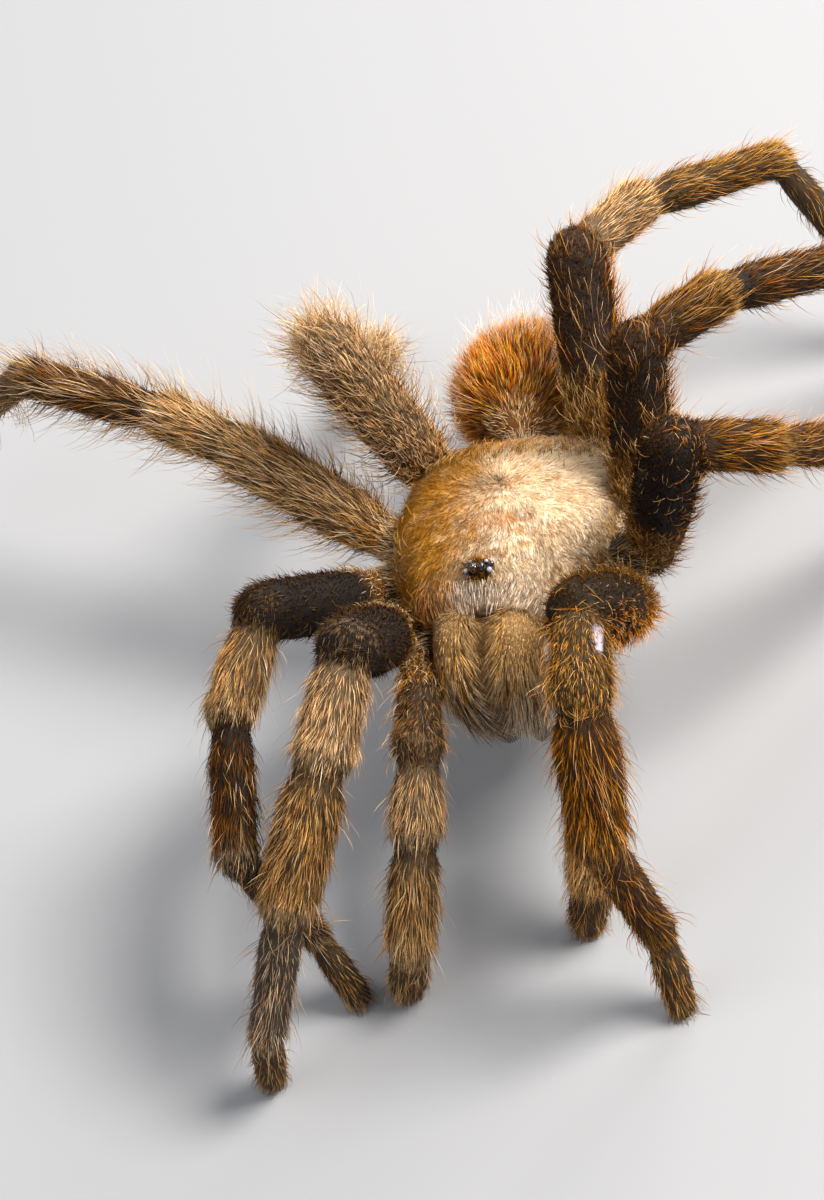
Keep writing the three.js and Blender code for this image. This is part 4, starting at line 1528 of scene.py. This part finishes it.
def build_camera():
    right, up, back = view_axes()
    data = bpy.data.cameras.new("camera")
    data.lens = CAMERA["lens"]
    data.sensor_width = 36
    data.sensor_fit = "AUTO"
    data.clip_start = 0.01
    data.clip_end = 20
    camera = bpy.data.objects.new("camera", data)
    bpy.context.scene.collection.objects.link(camera)
    spot = in_frame(CAMERA["target"]) + back * CAMERA["distance"]
    camera.matrix_world = Matrix([[right[i], up[i], back[i], spot[i]] for i in range(3)]
                                 + [[0, 0, 0, 1]])
    bpy.context.scene.camera = camera
    return right, up, back


def build_floor():
    half = 3.0
    corners = np.array([(-half, -half, 0), (half, -half, 0), (half, half, 0), (-half, half, 0)])
    floor = mesh_from("floor", corners, np.array([(0, 1, 2), (0, 2, 3)]), True)
    material, _ = new_material("pale_floor", Roughness=0.9, Specular_IOR_Level=0.2,
                               Base_Color=(0.36, 0.36, 0.37, 1))
    floor.data.materials.append(material)


def area_light(name, towards, distance, size, power, colour):
    """A square soft light that faces the body's middle from a given side."""
    data = bpy.data.lights.new(name, "AREA")
    data.shape = "SQUARE"
    data.size, data.energy, data.color = size, power, colour
    light = bpy.data.objects.new(name, data)
    bpy.context.scene.collection.objects.link(light)
    middle = in_frame((0, 0, HIP_HEIGHT))
    light.location = Vector(middle + unit(towards) * distance)
    light.rotation_euler = Vector(unit(towards)).to_track_quat("Z", "Y").to_euler()


def build_lights(right, up, back):
    """A soft key from above on the right, a rim from behind and a faint fill."""
    area_light("key", right * 0.45 + up * 0.8 + back * 0.85, 0.6, 0.24, 7.2, (1.0, 0.97, 0.92))
    area_light("rim", right * 0.3 + up * 1.0 - back * 0.2, 0.6, 0.35, 3.8, (1.0, 0.98, 0.95))
    area_light("fill", -right * 0.9 + up * 0.2 + back * 0.6, 0.6, 0.5, 1.0, (0.93, 0.96, 1.0))
    world = bpy.data.worlds.new("studio")
    bpy.context.scene.world = world
    world.use_nodes = True
    feed(world.node_tree.nodes["Background"], Color=(0.92, 0.95, 1.0, 1), Strength=0.4)
    bpy.context.scene.view_settings.view_transform = "Standard"


# ---- the model ----

axes = build_camera()
build_floor()
build_lights(*axes)

GROUPS = dict(hair=hair_colour_group(), grain=grain_group())
HAIR_MATERIALS = {
    "carapace_velvet": hair_material("carapace_velvet", 0.75, 1.15, 1.1, 0.08),
    "abdomen_hair": hair_material("abdomen_hair", 0.7, 1.25, 1.15, 0.12),
    "jaw_hair": hair_material("jaw_hair", 0.6, 1.3, 1.05, 0.12),
    "limb_hair": hair_material("limb_hair", 0.55, 1.4, 1.05, 0.06),
    "foot_hair": hair_material("foot_hair", 0.55, 1.35, 1.05, 0.06),
    "underside_hair": hair_material("underside_hair", 0.7, 1.2, 1.0, 0.1),
}

all_parts = all_forms()
rough_mesh = skin_mesh(all_parts)
skin_tree = BVHTree.FromPolygons(points_of(rough_mesh).tolist(),
                                 [tuple(face.vertices) for face in rough_mesh.polygons])
build_skin(all_parts, rough_mesh, hide_material())
for piece in all_coats(all_parts, skin_tree):
    piece.build(HAIR_MATERIALS[piece.slot])

build_eyes(horn_material("eye_glass", (0.004, 0.005, 0.009), (0.012, 0.014, 0.025), 0.08, 1.0),
           horn_material("eye_pearl", (0.2, 0.2, 0.25), (0.55, 0.55, 0.6), 0.12, 1.0))
horn = horn_material("fang_horn", (0.006, 0.004, 0.003), (0.03, 0.012, 0.006), 0.22, 0.6)
build_fangs(horn)
build_claws(horn)
